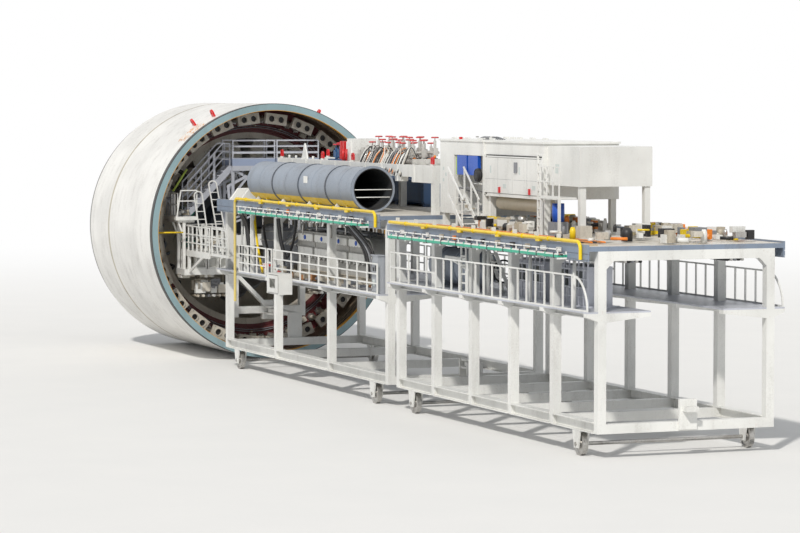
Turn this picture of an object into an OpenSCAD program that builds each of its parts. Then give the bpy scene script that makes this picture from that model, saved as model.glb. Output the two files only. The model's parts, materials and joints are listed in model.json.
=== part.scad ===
// Tunnel boring machine: shield, cutterhead and two trailing gantries, as a scale model.
// All sizes are those of the full machine in millimetres. place() reduces them by scale_ratio.
// Machine axes: x runs to the rear from the tail rim, y to the right side, z up from the shield's axis.

/* [Model] */
// How many times smaller than the real machine the model is
scale_ratio = 2; // [1:1:10]

/* [Shield] */
// Outer diameter of the shield
shield_d = 10800; // [10000:100:11400]
// Length of the shield from its cutting edge to the tail rim
shield_len = 9200; // [8800:100:10200]
// Wall of the tail skin
skin_t = 150; // [100:10:200]
// Radial width of the tail rim's rear face
rim_w = 300; // [240:10:360]
// Length of the thickened tail rim
rim_len = 300; // [200:20:500]
// Distance from the tail rim forward to the bulkhead's rear face
bulkhead_depth = 6250; // [6000:50:6400]
// Thickness of the bulkhead
bulkhead_t = 200; // [120:10:260]
// Radius of a man lock chamber
lock_r = 1080; // [900:20:1120]
// Length of a man lock chamber behind the bulkhead
lock_len = 2550; // [2000:50:2600]

/* [Cutterhead] */
// How far the cutterhead's radius stays inside the shield's
head_in_by = 30; // [10:5:120]
// Thickness of the cutterhead's wheel
head_t = 620; // [500:20:700]
// Number of spokes
spokes = 8; // [6:2:10]
// Radius of a disc cutter
cutter_r = 216; // [190:2:240]
// How far a disc cutter stands out of the face
cutter_out = 110; // [80:5:140]

/* [Thrust cylinders] */
// Number of cylinder pairs round the shield
pairs = 24; // [20:4:28]
// Radius of the circle that the cylinders lie on
thrust_r = 4740; // [4700:10:4780]
// Outer radius of a cylinder barrel
barrel_r = 150; // [130:5:165]
// Radius of a piston rod
rod_r = 95; // [70:5:110]
// Stroke of the cylinders
stroke = 2000; // [1500:50:2100]

/* [Erector] */
// Outer radius of the erector's turning ring
erector_r = 4150; // [4000:10:4160]
// Radial width of the turning ring
erector_w = 260; // [200:10:300]
// Radial travel of the erector's head
head_travel = 400; // [300:20:440]

/* [Front gantry] */
// Length of the front gantry
g1_len = 18300; // [17800:50:18400]
// Gap from the tail rim to the front gantry
g1_gap = 2600; // [2400:50:3000]
// Height of the front gantry's deck above the shield's axis
g1_deck_z = 1450; // [1350:10:1500]
// Height of the front gantry's lower walkway
g1_walk_z = -1350; // [-1500:10:-1300]
// Outer radius of the air duct
duct_r = 790; // [650:10:820]
// Length of one duct section
duct_section = 3000; // [2600:50:3100]
// Number of duct sections
duct_sections = 4; // [3:1:4]

/* [Rear gantry] */
// Length of the rear gantry
g2_len = 16700; // [16400:50:17200]
// Gap between the gantries
g_gap = 800; // [600:20:1200]
// Height of the rear gantry's deck above the shield's axis
g2_deck_z = 1150; // [1050:10:1250]
// Height of the rear gantry's lower walkway
g2_walk_z = -850; // [-1000:10:-700]

/* [Both gantries] */
// Half width of the decks
deck_half = 3400; // [3300:10:3450]
// Distance of the leg centres inside the decks' edges
leg_in = 500; // [420:10:600]
// Side of a leg
leg_w = 280; // [200:10:320]
// Radius of a wheel
wheel_r = 360; // [300:10:380]
// Width of a wheel
wheel_w = 180; // [120:10:200]
// Radius of a wheel's axle
axle_r = 60; // [40:5:80]
// Radius of a tow pin
pin_r = 90; // [70:5:110]
// Height of a handrail
rail_h = 1100; // [1000:10:1150]
// Thickness of a handrail's tubes
rail_t = 50; // [40:5:60]
// Thickness of a deck
deck_t = 150; // [120:10:160]

/* [Hidden] */
$fn = 64;

shield_r = shield_d / 2;
head_r = shield_r - head_in_by;
seat = 0.3 * scale_ratio;       // gap between curved faces that meet
fit = 0.05 * scale_ratio;       // radial clearance of a pin or shaft
clear = 10 * scale_ratio;       // clearance of moving pieces

g1_x0 = g1_gap;
g1_x1 = g1_x0 + g1_len;
g2_x0 = g1_x1 + g_gap;
g2_x1 = g2_x0 + g2_len;
eye_out = 420;                  // how far a tow bracket stands out behind its gantry
head_gap = 60;                  // gap between the cutterhead and the cutting edge
head_x1 = -shield_len - head_gap;
head_x0 = head_x1 - head_t;
front_x = head_x0 - cutter_out;
rear_x = g2_x1 + eye_out;
x_mid = (front_x + rear_x) / 2;
floor_z = -shield_r;

// Moves a piece from the machine's axes to the model's, and reduces it to the model's scale
module place() {
  scale(1 / scale_ratio) translate([-x_mid, 0, shield_r]) children();
}

// A block between two opposite corners
module block(a, b) {
  translate(a) cube([b[0] - a[0], b[1] - a[1], b[2] - a[2]]);
}

// A round bar along x
module x_bar(x0, x1, r, y = 0, z = 0) {
  translate([x0, y, z]) rotate([0, 90, 0]) cylinder(h = x1 - x0, r = r);
}

// A tube along x
module x_tube(x0, x1, r_out, r_in, y = 0, z = 0) {
  translate([x0, y, z]) rotate([0, 90, 0]) difference() {
    cylinder(h = x1 - x0, r = r_out);
    translate([0, 0, -1]) cylinder(h = x1 - x0 + 2, r = r_in);
  }
}

// A body turned about x from an outline of [radius, x] points
module x_turned(points) {
  rotate([0, 90, 0]) rotate_extrude() polygon(points);
}

// Children at an angle about x, counted from the right side towards the top
module at_angle(a) {
  rotate([a, 0, 0]) children();
}

// A flat lattice in the xz plane: bays across, rows up
module lattice(length, height, bays, rows, bar, depth) {
  pitch_x = (length - bar) / bays;
  pitch_z = (height - bar) / rows;
  rotate([90, 0, 0]) translate([0, 0, -depth / 2]) linear_extrude(depth) difference() {
    square([length, height]);
    for (i = [0:bays - 1]) for (j = [0:rows - 1])
      translate([bar + i * pitch_x, bar + j * pitch_z]) square([pitch_x - bar, pitch_z - bar]);
  }
}

// A handrail along x, standing on z = 0
module handrail(length, bays) {
  lattice(length, rail_h, bays, 2, rail_t, rail_t);
}

// A handrail along y
module handrail_y(length, bays) {
  rotate([0, 0, 90]) handrail(length, bays);
}

// A flat bar between two points of a plane
module strip(a, b, w) {
  d = b - a;
  n = [-d[1], d[0]] / norm(d) * w / 2;
  polygon([a + n, a - n, b - n, b + n]);
}

// A flat bar along a row of points, rounded at its bends
module bars(points, w) {
  bend_r = 0.49 * w;
  for (i = [0:len(points) - 2]) strip(points[i], points[i + 1], w);
  for (p = points) translate(p) circle(r = bend_r);
}

// A square with rounded corners
module rounded(w, h, r) {
  translate([r, 0]) square([w - 2 * r, h]);
  translate([0, r]) square([w, h - 2 * r]);
  for (x = [r, w - r]) for (y = [r, h - r]) translate([x, y]) circle(r = r);
}

// A plate of thickness t made from a drawing in the yz plane
module plate_yz(x, t) {
  translate([x, 0, 0]) rotate([90, 0, 90]) linear_extrude(t) children();
}

// A plate of thickness t made from a drawing in the xz plane
module plate_xz(y, t) {
  translate([0, y + t, 0]) rotate([90, 0, 0]) linear_extrude(t) children();
}

// A guard panel along x with two rails and a kick plate, standing on z = 0
module guard_panel(length) {
  translate([0, -rail_t / 2, 0]) plate_xz(0, rail_t) difference() {
    square([length, rail_h]);
    for (z = [0.3, 0.55, 0.78]) translate([rail_t, z * rail_h])
      square([length - 2 * rail_t, 0.22 * rail_h - rail_t]);
  }
}

// A ladder in the yz plane with looped stiles, leaning from its foot to its head
module looped_ladder(foot, head, w) {
  side = [w / 2, 0];
  rungs = floor((head[1] - foot[1]) / 300);
  bars([foot - side, head - side], rail_t);
  bars([foot + side, head + side], rail_t);
  translate(head) intersection() {
    difference() {
      circle(r = (w + rail_t) / 2);
      circle(r = (w - rail_t) / 2);
    }
    translate([-w, 0]) square([2 * w, w]);
  }
  for (i = [1:rungs - 1]) {
    middle = foot + (head - foot) * i / rungs;
    strip(middle - side, middle + side, 30);
  }
}

// A lifting lug in the xz plane with its eye, standing on z = 0
module lug(w, t) {
  rotate([90, 0, 0]) translate([0, 0, -t / 2]) linear_extrude(t) difference() {
    union() {
      translate([-w / 2, 0]) square([w, w * 0.55]);
      translate([0, w * 0.55]) circle(r = w / 2);
    }
    translate([0, w * 0.6]) circle(r = w * 0.2);
  }
}

// Shield

module front_shield() {
  color("white") place() x_turned([
    [shield_r - 320, -bulkhead_depth - bulkhead_t], [shield_r, -bulkhead_depth - bulkhead_t],
    [shield_r, -shield_len + 60], [shield_r - 60, -shield_len], [shield_r - 200, -shield_len],
    [shield_r - 320, -shield_len + 400]
  ]);
}

lock_y = 1300;
lock_z = 3120;
screw_r = 430;
screw_tilt = 14;
screw_len = 11300;
screw_z = -2900;

module screw_axis() {
  translate([-bulkhead_depth, 0, screw_z]) rotate([0, 90 - screw_tilt, 0]) children();
}

module bulkhead() {
  color("gainsboro") place() difference() {
    x_bar(-bulkhead_depth - bulkhead_t, -bulkhead_depth, shield_r);
    x_bar(-bulkhead_depth - bulkhead_t - 1, -bulkhead_depth + 1, 1700);
  }
}

module tail_skin() {
  color("white") place()
    x_tube(-bulkhead_depth, -rim_len, shield_r, shield_r - skin_t);
}

module tail_rim() {
  color("cadetblue") place() x_turned([
    [shield_r - rim_w, 0], [shield_r, 0], [shield_r, -rim_len], [shield_r - skin_t, -rim_len],
    [shield_r - rim_w, -rim_len + 60]
  ]);
}

// columns: angle, x
LUG_ROWS = [[124, -1500], [116, -900], [64, -1200], [56, -2600]];

module shield_lugs() {
  color("red") place() for (row = LUG_ROWS)
    at_angle(row[0]) translate([row[1], shield_r + seat, 0]) rotate([-90, 0, 0]) lug(300, 80);
}

drive_r = 1690;
module main_drive() {
  color("steelblue") place() difference() {
    x_turned([
      [0, -bulkhead_depth + 300], [900, -bulkhead_depth + 300], [1200, -bulkhead_depth],
      [drive_r - seat, -bulkhead_depth],
      [drive_r - seat, -bulkhead_depth - bulkhead_t], [drive_r + 500, -bulkhead_depth - bulkhead_t],
      [drive_r + 500, head_x1 + 900], [0, head_x1 + 900]
    ]);
    x_bar(head_x1, head_x1 + 1900, 600 + fit);
  }
}

motors = 10;
screw_place = 7;
function motor_angle(i) = (i + 0.5) * 360 / motors;
module drive_motors() {
  // the place at the bottom is the screw conveyor's
  color("seagreen") place() for (i = [0:motors - 1]) if (i != screw_place)
    at_angle(motor_angle(i)) translate([0, 2150, 0]) {
      x_bar(-bulkhead_depth + seat, -bulkhead_depth + 500, 230);
      x_bar(-bulkhead_depth + 500, -bulkhead_depth + 1100, 180);
    }
}

lock_door_w = 720;
lock_door_z0 = -700;
lock_door_z1 = 620;

// A doorway's outline, with a round top
module doorway(w, z0, z1) {
  translate([-w / 2, z0]) square([w, z1 - w / 2 - z0]);
  translate([0, z1 - w / 2]) circle(r = w / 2);
}

module man_locks() {
  frame = 60;
  color("ivory") place() for (side = [-1, 1])
    translate([-bulkhead_depth, side * lock_y, lock_z]) rotate([90, 0, 90]) {
      difference() {
        union() {
          cylinder(h = lock_len, r = lock_r);
          translate([0, 0, lock_len - frame]) cylinder(h = frame, r = lock_r + 30);
          translate([0, 0, lock_len]) linear_extrude(frame)
            doorway(lock_door_w + 2 * frame, lock_door_z0 - frame, lock_door_z1 + frame);
        }
        translate([0, 0, 150]) linear_extrude(lock_len) doorway(lock_door_w, lock_door_z0, lock_door_z1);
      }
    }
}

module screw_conveyor() {
  color("slategray") place() difference() {
    screw_axis() translate([0, 0, -400]) {
      cylinder(h = screw_len, r = screw_r);
      for (i = [0:5]) translate([0, 0, 1500 + i * 1900]) cylinder(h = 120, r = screw_r + 90);
    }
    block([-bulkhead_depth - 3000, -2000, -6000], [-bulkhead_depth, 2000, 0]);
  }
}

ring_x0 = -bulkhead_depth + lock_len + 150;
ring_x1 = ring_x0 + 600;
ring_in = 4300;
ring_parts = 8;                 // the carrier ring is bolted together from this many segments
module carrier_ring() {
  color("darkred") place() difference() {
    union() {
      x_tube(ring_x0, ring_x1, shield_r - skin_t - seat, ring_in);
      x_tube(ring_x0, ring_x0 + 300, ring_in + 1, erector_r + seat);
    }
    for (i = [0:pairs - 1]) for (s = [-1, 1])
      at_angle(pair_angle(i) + s * pair_half) x_bar(ring_x0 - 1, ring_x1 + 1, rod_r + 15, thrust_r);
    for (i = [0:ring_parts - 1]) at_angle(i * 360 / ring_parts)
      block([ring_x0 - 1, erector_r - 50, -seat / 2], [ring_x1 + 1, shield_r, seat / 2]);
  }
}

function pair_angle(i) = (i + 0.5) * 360 / pairs;
pair_half = 2.6;
shoe_x1 = ring_x1 + 1500;
shoe_t = 220;
rod_x0 = ring_x0 - stroke - 200;

module thrust_barrels() {
  color("dimgray") place() for (i = [0:pairs - 1]) for (s = [-1, 1])
    at_angle(pair_angle(i) + s * pair_half) translate([0, thrust_r, 0]) difference() {
      x_bar(-bulkhead_depth + seat, ring_x0 - seat, barrel_r);
      x_bar(rod_x0 - 40, ring_x0 + 1, rod_r + fit);
    }
}

module shoe() {
  x0 = shoe_x1 - shoe_t;
  difference() {
    block([x0, -230, -480], [shoe_x1, 230, 480]);
    for (s = [-1, 1]) x_bar(shoe_x1 - 90, shoe_x1 + 1, 130, 0, s * 215);
  }
  for (s = [-1, 1]) x_tube(shoe_x1 - 90, shoe_x1 + 30, 165, 130, 0, s * 215);
}

module thrust_group(first) {
  color("linen") place() for (i = [first:first + pairs / 4 - 1]) {
    at_angle(pair_angle(i)) translate([0, thrust_r + 20, 0]) shoe();
    for (s = [-1, 1]) at_angle(pair_angle(i) + s * pair_half)
      x_bar(rod_x0, shoe_x1 - shoe_t + 20, rod_r, thrust_r);
  }
}

module thrust_rods_right() { thrust_group(pairs * 7 / 8); }
module thrust_rods_top() { thrust_group(pairs / 8); }
module thrust_rods_left() { thrust_group(pairs * 3 / 8); }
module thrust_rods_bottom() { thrust_group(pairs * 5 / 8); }

// Fixed inner bridge through the erector

bridge_y = 1500;
bridge_z = -150;
module bridge_frame() {
  color("white") place() {
    for (s = [-1, 1])
      block([-bulkhead_depth, s * bridge_y - 150, bridge_z - 450], [-350, s * bridge_y + 150, bridge_z]);
    for (x = [-2250, -700])
      block([x, -bridge_y - 150, bridge_z - 450], [x + 300, bridge_y + 150, bridge_z - 50]);
  }
}

plat_x0 = ring_x0 + 1250;
plat_x1 = -900;
plat_y0 = -1550;
plat_y1 = 2350;
plat_z = 2750;
plat_t = 200;
module upper_platform() {
  panel = (plat_y1 - plat_y0 - 60) / 2;
  color("lightsteelblue") place() {
    block([plat_x0, plat_y0, plat_z - plat_t], [plat_x1, plat_y1, plat_z]);
    for (x = [plat_x0 + 60, plat_x1 - 180]) {
      for (s = [-1, 1])
        block([x, s * bridge_y - 60, bridge_z], [x + 120, s * bridge_y + 60, plat_z - plat_t / 2]);
      plate_yz(x + 30, 60) {
        for (s = [-1, 1]) strip([s * bridge_y, 1500], [s * (bridge_y - 900), plat_z - plat_t], 90);
        bars([[-910, 2300], [-1710, 1900], [-1660, 1390]], 110);
        strip([-1500, 2600], [-910, 2300], 110);
        strip([-bridge_y, 350], [bridge_y, 1300], 80);
      }
    }
    for (i = [0:1]) {
      translate([plat_x1 - 25, plat_y0 + i * (panel + 60), plat_z]) rotate([0, 0, 90]) guard_panel(panel);
      translate([plat_x0 + 25, plat_y0 + i * (panel + 60), plat_z]) rotate([0, 0, 90]) guard_panel(panel);
    }
    translate([plat_x0, plat_y1 - 25, plat_z]) guard_panel(plat_x1 - plat_x0);
  }
}

side_z = 650;
side_t = 150;
side_x1 = -600;
side_y1 = 4150;
side_in = 3200;
stair_x0 = plat_x0 + 350;
stair_w = 800;
stair_x1 = stair_x0 + stair_w;
stair_run = 2100;
stair_drop = plat_z - side_z;
stair_top = 350;                // how far the rails run on level ground at the stair's head
rail_up = rail_h - 150;
steps = 10;
module shield_stair() {
  tread = (stair_run - 100) / (steps + 1);
  rise = stair_drop / (steps + 1);
  color("slategray") place() translate([stair_x0, plat_y0, plat_z]) rotate([0, 0, -90]) {
    for (side = [0, stair_w - 60]) plate_xz(side, 60)
      polygon([[0, 0], [100, 0], [stair_run, -stair_drop], [stair_run - 300, -stair_drop], [0, -280]]);
    for (i = [0:steps - 1])
      translate([100 + (i + 1) * tread - 120, 30, -(i + 1) * rise - 40]) cube([240, stair_w - 60, 40]);
    for (side = [5, stair_w - 5 - rail_t]) plate_xz(side, rail_t) stair_rail();
  }
}

// Handrail of the stair, drawn from the platform's edge outwards
module stair_rail() {
  slope = stair_drop / (stair_run - 100);
  end = stair_run - 200;
  for (down = [0, 330, 660])
    bars([[rail_t / 2, rail_up - down], [stair_top, rail_up - down],
          [end, rail_up - down - slope * (end - stair_top)]], rail_t);
  for (x = [rail_t / 2, 700, 750, 1300, end])
    strip([x, -slope * max(0, x - 100) - 60], [x, rail_up - slope * max(0, x - stair_top)], rail_t);
}

// Outline of a side platform's floor, seen from above
module side_floor(s, shrink) {
  mirror([0, s > 0 ? 0 : 1]) polygon([
    [plat_x0 + shrink, -plat_y0 + stair_run + 30], [stair_x1 + 50, -plat_y0 + stair_run + 30],
    [stair_x1 + 50, side_in + shrink], [side_x1 - shrink, side_in + shrink],
    [side_x1 - shrink, side_y1 - shrink], [plat_x0 + shrink, side_y1 - shrink]
  ]);
}

module side_platforms() {
  post_y = basket_y1 - 150;
  under = side_z - side_t - 99;
  color("white") place() for (s = [-1, 1]) {
    translate([0, 0, side_z - side_t]) linear_extrude(side_t) side_floor(s, 0);
    translate([0, 0, side_z - side_t - 100]) linear_extrude(101) side_floor(s, 100);
    for (x = [basket_x0 + 100, side_x1 - 220]) {
      block([x, s * (post_y + 60) - 60, basket_z], [x + 120, s * (post_y + 60) + 60, under]);
      plate_yz(x + 30, 60) strip([s * (post_y + 100), under - 500], [s * (side_y1 - 150), under], 80);
    }
    plate_yz(side_x1 - rail_t, rail_t) {
      bars([[s * (side_in + 30), side_z], [s * (side_in + 30), side_z + rail_h],
        [s * (side_y1 - 220), side_z + rail_h],
            [s * (side_y1 - 40), side_z]], rail_t);
      strip([s * (side_in + 30), side_z + 0.6 * rail_h],
        [s * (side_y1 - 120), side_z + 0.6 * rail_h], rail_t);
    }
    translate([side_x1 - 900, s * (side_y1 - 95), side_z])
      lattice(901 - rail_t, rail_h - 100, 2, 2, rail_t, rail_t);
  }
}

basket_x0 = -1700;
basket_x1 = -400;
basket_z = -1550;
basket_y0 = 1700;
basket_y1 = 3850;
catwalk_z = -800;
catwalk_t = 50;
catwalk_y0 = 3060;
catwalk_y1 = 3650;
catwalk_x1 = 2300;
bin_w = 470;
module lower_baskets() {
  bins = floor((basket_y1 - basket_y0 - 100) / (bin_w + 60));
  color("white") place() for (s = [-1, 1]) mirror([0, s > 0 ? 0 : 1, 0]) {
    block([basket_x0, basket_y0, basket_z - 250], [basket_x1, basket_y1, basket_z]);
    block([basket_x0, basket_y0, catwalk_z - catwalk_t], [basket_x1, catwalk_y1, catwalk_z]);
    block([basket_x1 - 1, catwalk_y0, catwalk_z - catwalk_t], [catwalk_x1, catwalk_y1, catwalk_z]);
    for (y = [catwalk_y0, catwalk_y1 - 60])
      block([basket_x0, y, catwalk_z - 200], [catwalk_x1, y + 60, catwalk_z - catwalk_t + 1]);
    for (x = [basket_x0 + 100, basket_x1 - 220]) {
      block([x, basket_y0 - 60, basket_z - 1], [x + 120, basket_y0 + 60, bridge_z - 450]);
      block([x, bridge_y + 40, bridge_z - 600], [x + 120, basket_y0 + 60, bridge_z - 450]);
      block([x, catwalk_y1 - 120, basket_z - 1], [x + 120, catwalk_y1, catwalk_z - catwalk_t + 1]);
    }
    plate_xz(catwalk_y1 - 60, 60) strip([basket_x1 - 60, basket_z - 125], [1500, catwalk_z - 125], 110);
    for (i = [0:bins - 1]) translate([basket_x1 - 380, basket_y0 + 100 + i * (bin_w + 60), basket_z - 1])
      difference() {
      cube([350, bin_w, 520]);
      translate([60, 40, 60]) cube([300, bin_w - 80, 400]);
    }
    translate([basket_x0, catwalk_y1 - 30, catwalk_z])
      lattice(catwalk_x1 - basket_x0, rail_h, 7, 3, rail_t, rail_t);
    translate([basket_x1, catwalk_y0 + 30, catwalk_z])
      lattice(catwalk_x1 - basket_x1, rail_h, 4, 2, rail_t, rail_t);
    translate([basket_x0 + 30, basket_y0, catwalk_z]) handrail_y(catwalk_y1 - basket_y0, 4);
    plate_yz(side_x1, rail_t) {
      looped_ladder([2835, catwalk_z], [side_in - 20, side_z + rail_up - 70], 350);
      looped_ladder([2028, catwalk_z], [2540, side_z + rail_up + 370], 350);
    }
  }
}

// Tow joints: a clevis with its pin, and the tongue that turns on it

tongue_t = 160;
cheek_t = 80;
cheek_r = 260;
tongue_r = 230;
clevis_gap = tongue_t + 2 * clear;

// Two cheeks with their pin, held length in front of the pin
module clevis(x, z, length) {
  for (s = [-1, 1]) translate([x, 0, z + s * (clevis_gap + cheek_t) / 2 - cheek_t / 2]) {
    cylinder(h = cheek_t, r = cheek_r);
    translate([-length, -cheek_r, 0]) cube([length, 2 * cheek_r, cheek_t]);
  }
  translate([x, 0, z - clevis_gap / 2 - 20]) cylinder(h = clevis_gap + 40, r = pin_r);
}

module tongue(x, z, length) {
  difference() {
    union() {
      translate([x, 0, z - tongue_t / 2]) cylinder(h = tongue_t, r = tongue_r);
      translate([x, -180, z - tongue_t / 2]) cube([length, 360, tongue_t]);
    }
    translate([x, 0, z - tongue_t]) cylinder(h = 2 * tongue_t, r = pin_r + fit);
  }
}

tow1_x = -100;
tow1_z = -3350;
tow2_x = g1_x1 + g_gap / 2;
tow_z = -3900;

module shield_tow_bracket() {
  x1 = tow1_x - 520;
  x0 = x1 - 300;
  color("gainsboro") place() {
    clevis(tow1_x, tow1_z, tow1_x - x1);
    block([x0, -300, tow1_z - 400], [x1, 300, tow1_z + 400]);
    for (s = [-1, 1])
      block([x0, s * bridge_y - 120, tow1_z - 300], [x1, s * bridge_y + 120, bridge_z - 450]);
    plate_yz(x0, 300) for (s = [-1, 1]) {
      strip([0, tow1_z], [s * bridge_y, tow1_z], 300);
      strip([s * 250, tow1_z + 300], [s * (bridge_y - 60), tow1_z + 1500], 160);
    }
  }
}

// Cutterhead

slot_in = 2250;
slot_out = 4750;
slot_half_in = 180;
slot_half_out = 880;
slot_a = atan2(slot_half_out - slot_half_in, slot_out - slot_in);
module cutterhead() {
  color("gray") place() difference() {
    union() {
      x_turned([
        [0, head_x0], [head_r - 420, head_x0], [head_r - 60, head_x0 + 260], [head_r - 30, head_x1],
        [0, head_x1]
      ]);
      x_turned([[0, head_x1], [2100, head_x1], [1700, head_x1 + 700], [0, head_x1 + 700]]);
      x_bar(head_x1, head_x1 + 1800, 600);
    }
    for (i = [0:spokes - 1]) at_angle((i + 0.5) * 360 / spokes)
      translate([head_x0 - 10, 0, 0]) rotate([90, 0, 90]) linear_extrude(head_t + 20)
        polygon([[slot_in, -slot_half_in], [slot_out, -slot_half_out], [slot_out, slot_half_out],
                 [slot_in, slot_half_in]]);
    for (i = [0:spokes - 1]) at_angle((i + 0.5) * 360 / spokes)
      block([head_x0 - 10, slot_out - 60, -420], [head_x0 + 260, head_r + 10, 420]);
    for (c = CUTTERS) at_angle(c[0]) cutter_pocket(c[1]);
  }
}

// columns: angle, radius
CUTTERS = concat(
  [for (i = [0:spokes - 1]) for (r = [2600:620:4500]) [i * 360 / spokes, r + (i % 2) * 300]],
  [for (i = [0:spokes / 2 - 1]) [(i + 0.25) * 720 / spokes, 1500]],
  [for (i = [0:1]) [i * 180 + 70, 620]]
);

pocket_w = 330;
pocket_depth = 2 * cutter_r - cutter_out + 40;
module cutter_pocket(r) {
  block([head_x0 - 10, r - pocket_w / 2, -290], [head_x0 + pocket_depth, r + pocket_w / 2, 290]);
}

module disc_cutters() {
  color("silver") place() for (c = CUTTERS) at_angle(c[0])
    translate([head_x0 - cutter_out + cutter_r, c[1] - pocket_w / 2, 0]) rotate([-90, 0, 0]) {
      cylinder(h = pocket_w, r = 75);
      translate([0, 0, 30]) cylinder(h = pocket_w - 60, r = 150);
      translate([0, 0, pocket_w / 2 - 35]) cylinder(h = 70, r = cutter_r);
    }
}

module head_scrapers() {
  teeth = 9;
  color("goldenrod") place() for (i = [0:spokes - 1]) for (s = [-1, 1])
    at_angle((i + 0.5) * 360 / spokes) translate([0, slot_in + 100, s * 215]) rotate([s * slot_a, 0, 0])
      translate([head_x0 - 60, 0, s > 0 ? 20 : -120]) linear_extrude(100)
        polygon(concat([[60, 0]], [for (k = [0:teeth - 1]) each
          [[30, k * 260], [0, k * 260 + 20], [0, k * 260 + 180], [30, k * 260 + 200]]],
            [[60, teeth * 260 - 60]]));
}

// Erector

erector_a = 147;
guide_r = 75;
guide_x = ring_x0 + 170;
guide_y = 520;
head_out = 350;                 // how far the gripping plate lies inside the ring's radius
guide_in = erector_r - 700;
guide_out = erector_r - 160;    // where the guide rods end at full travel
head_in = guide_in - head_travel - 2 * clear;
grip_x0 = ring_x1 + clear;      // the gripping plate works behind the carrier ring
grip_x1 = grip_x0 + 530;

// The two round guides of the erector's head, between two radii
module erector_rods(r, r0, r1) {
  at_angle(erector_a) for (s = [-1, 1])
    translate([guide_x, r0, s * guide_y]) rotate([-90, 0, 0]) cylinder(h = r1 - r0, r = r);
}

module erector_ring() {
  color("tan") place() difference() {
    union() {
      x_tube(ring_x0 + 10, ring_x0 + 280, erector_r, erector_r - erector_w);
      at_angle(erector_a) for (s = [-1, 1])
        block([ring_x0 + 20, guide_in, s * guide_y - 130],
          [ring_x0 + 320, erector_r - 60, s * guide_y + 130]);
    }
    erector_rods(guide_r + fit, guide_in - 50, erector_r - 20);
  }
}

module erector_head() {
  color("wheat") place() {
    erector_rods(guide_r, head_in - 10, guide_out - head_travel);
    at_angle(erector_a) {
      block([guide_x - 80, head_in - 160, -guide_y - 120], [grip_x0 + 180, head_in, guide_y + 120]);
      block([grip_x0, head_in - 10, -300], [grip_x0 + 180, erector_r - head_out - 200, 300]);
      block([grip_x0, erector_r - head_out - 220, -700], [grip_x1, erector_r - head_out, 700]);
      for (s = [-1, 1]) block([grip_x0 + 20, erector_r - head_out - 420, s * 420 - 60],
                              [grip_x1 - 100, erector_r - head_out - 219, s * 420 + 60]);
    }
  }
}

// Gantries

leg_y = deck_half - leg_in;     // half distance between the leg centres
g1_legs = 4;
g2_legs = 6;
walk_in = 1250;                 // half width of the passage between the lower walkways
walk_t = 50;
bed_z = -4600;                  // underside of the gantries' lower beams
beam_h = 350;
head_h = 300;                   // depth of the portals' head beams
flange_w = 380;
haunch = 250;
function leg_places(x0, x1, legs) = [for (i = [0:legs - 1]) round(x0 + i * (x1 - x0 - leg_w) / (legs - 1))];

// One portal of a gantry: two legs, head beam with haunches, tie, and the brackets of the walkways
module portal(x, deck_z, walk_z) {
  top = deck_z - deck_t;
  inner = leg_y - leg_w / 2;
  plate_yz(x, leg_w) {
    difference() {
      translate([-leg_y - leg_w / 2, bed_z]) square([2 * leg_y + leg_w, top - bed_z]);
      polygon([[-inner, bed_z + beam_h - 50], [inner, bed_z + beam_h - 50], [inner, top - head_h - haunch],
               [inner - haunch, top - head_h], [haunch - inner, top - head_h],
                 [-inner, top - head_h - haunch]]);
    }
    for (s = [-1, 1])
      polygon([[s * walk_in, walk_z - walk_t], [s * deck_half, walk_z - walk_t],
        [s * deck_half, walk_z - 170],
               [s * leg_y, walk_z - beam_h], [s * walk_in, walk_z - 170]]);
  }
}

// A rolled beam along x with two flanges, its top at z = 0
module i_beam(x0, x1, h, w) {
  plate_yz(x0, x1 - x0) {
    for (z = [-h, -30]) translate([-w / 2, z]) square([w, 30]);
    translate([-15, -h]) square([30, h]);
  }
}

// The beams between the portals: below, under the walkway and under the deck
module long_beams(x0, x1, legs, deck_z, walk_z) {
  places = leg_places(x0, x1, legs);
  for (i = [0:legs - 2]) for (s = [-1, 1]) translate([0, s * leg_y, 0]) {
    translate([0, 0, bed_z + beam_h]) i_beam(places[i] + leg_w, places[i + 1], beam_h, flange_w);
    translate([0, 0, walk_z - walk_t]) i_beam(places[i] + leg_w, places[i + 1], 200, 200);
    translate([0, 0, deck_z - deck_t]) i_beam(places[i] + leg_w, places[i + 1], beam_h, leg_w);
  }
}

module wheel_hangers(x) {
  hanger_t = 60;
  for (s = [-1, 1]) for (t = [-1, 1])
    translate([x, s * leg_y + t * (wheel_w / 2 + 30) + (t - 1) * hanger_t / 2, 0]) difference() {
      plate_xz(0, hanger_t) polygon([
        [-260, bed_z - seat], [260, bed_z - seat],
          [140, floor_z + wheel_r - 120], [-140, floor_z + wheel_r - 120]
      ]);
      translate([0, hanger_t + 1, floor_z + wheel_r]) rotate([90, 0, 0])
        cylinder(h = hanger_t + 2, r = axle_r + fit);
    }
}

module wheelset(x) {
  color("dimgray") place() translate([x, 0, floor_z + wheel_r]) rotate([-90, 0, 0]) {
    translate([0, 0, -leg_y - wheel_w / 2 - 120]) cylinder(h = 2 * leg_y + wheel_w + 240, r = axle_r);
    for (s = [-1, 1]) translate([0, 0, s * leg_y - wheel_w / 2]) rotate_extrude() polygon([
      [0, 0], [150, 0], [150, 40], [wheel_r - 90, 40], [wheel_r - 60, 0], [wheel_r, 10],
      [wheel_r, wheel_w - 10], [wheel_r - 60, wheel_w], [wheel_r - 90, wheel_w - 40], [150, wheel_w - 40],
      [150, wheel_w], [0, wheel_w]
    ]);
  }
}

g1_wheel_x = [g1_x0 + 1500, g1_x1 - 1500];
g2_wheel_x = [g2_x0 + 1500, g2_x1 - 1500];
plate_t = 100;                  // plates that the tow gear is fixed to

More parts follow.
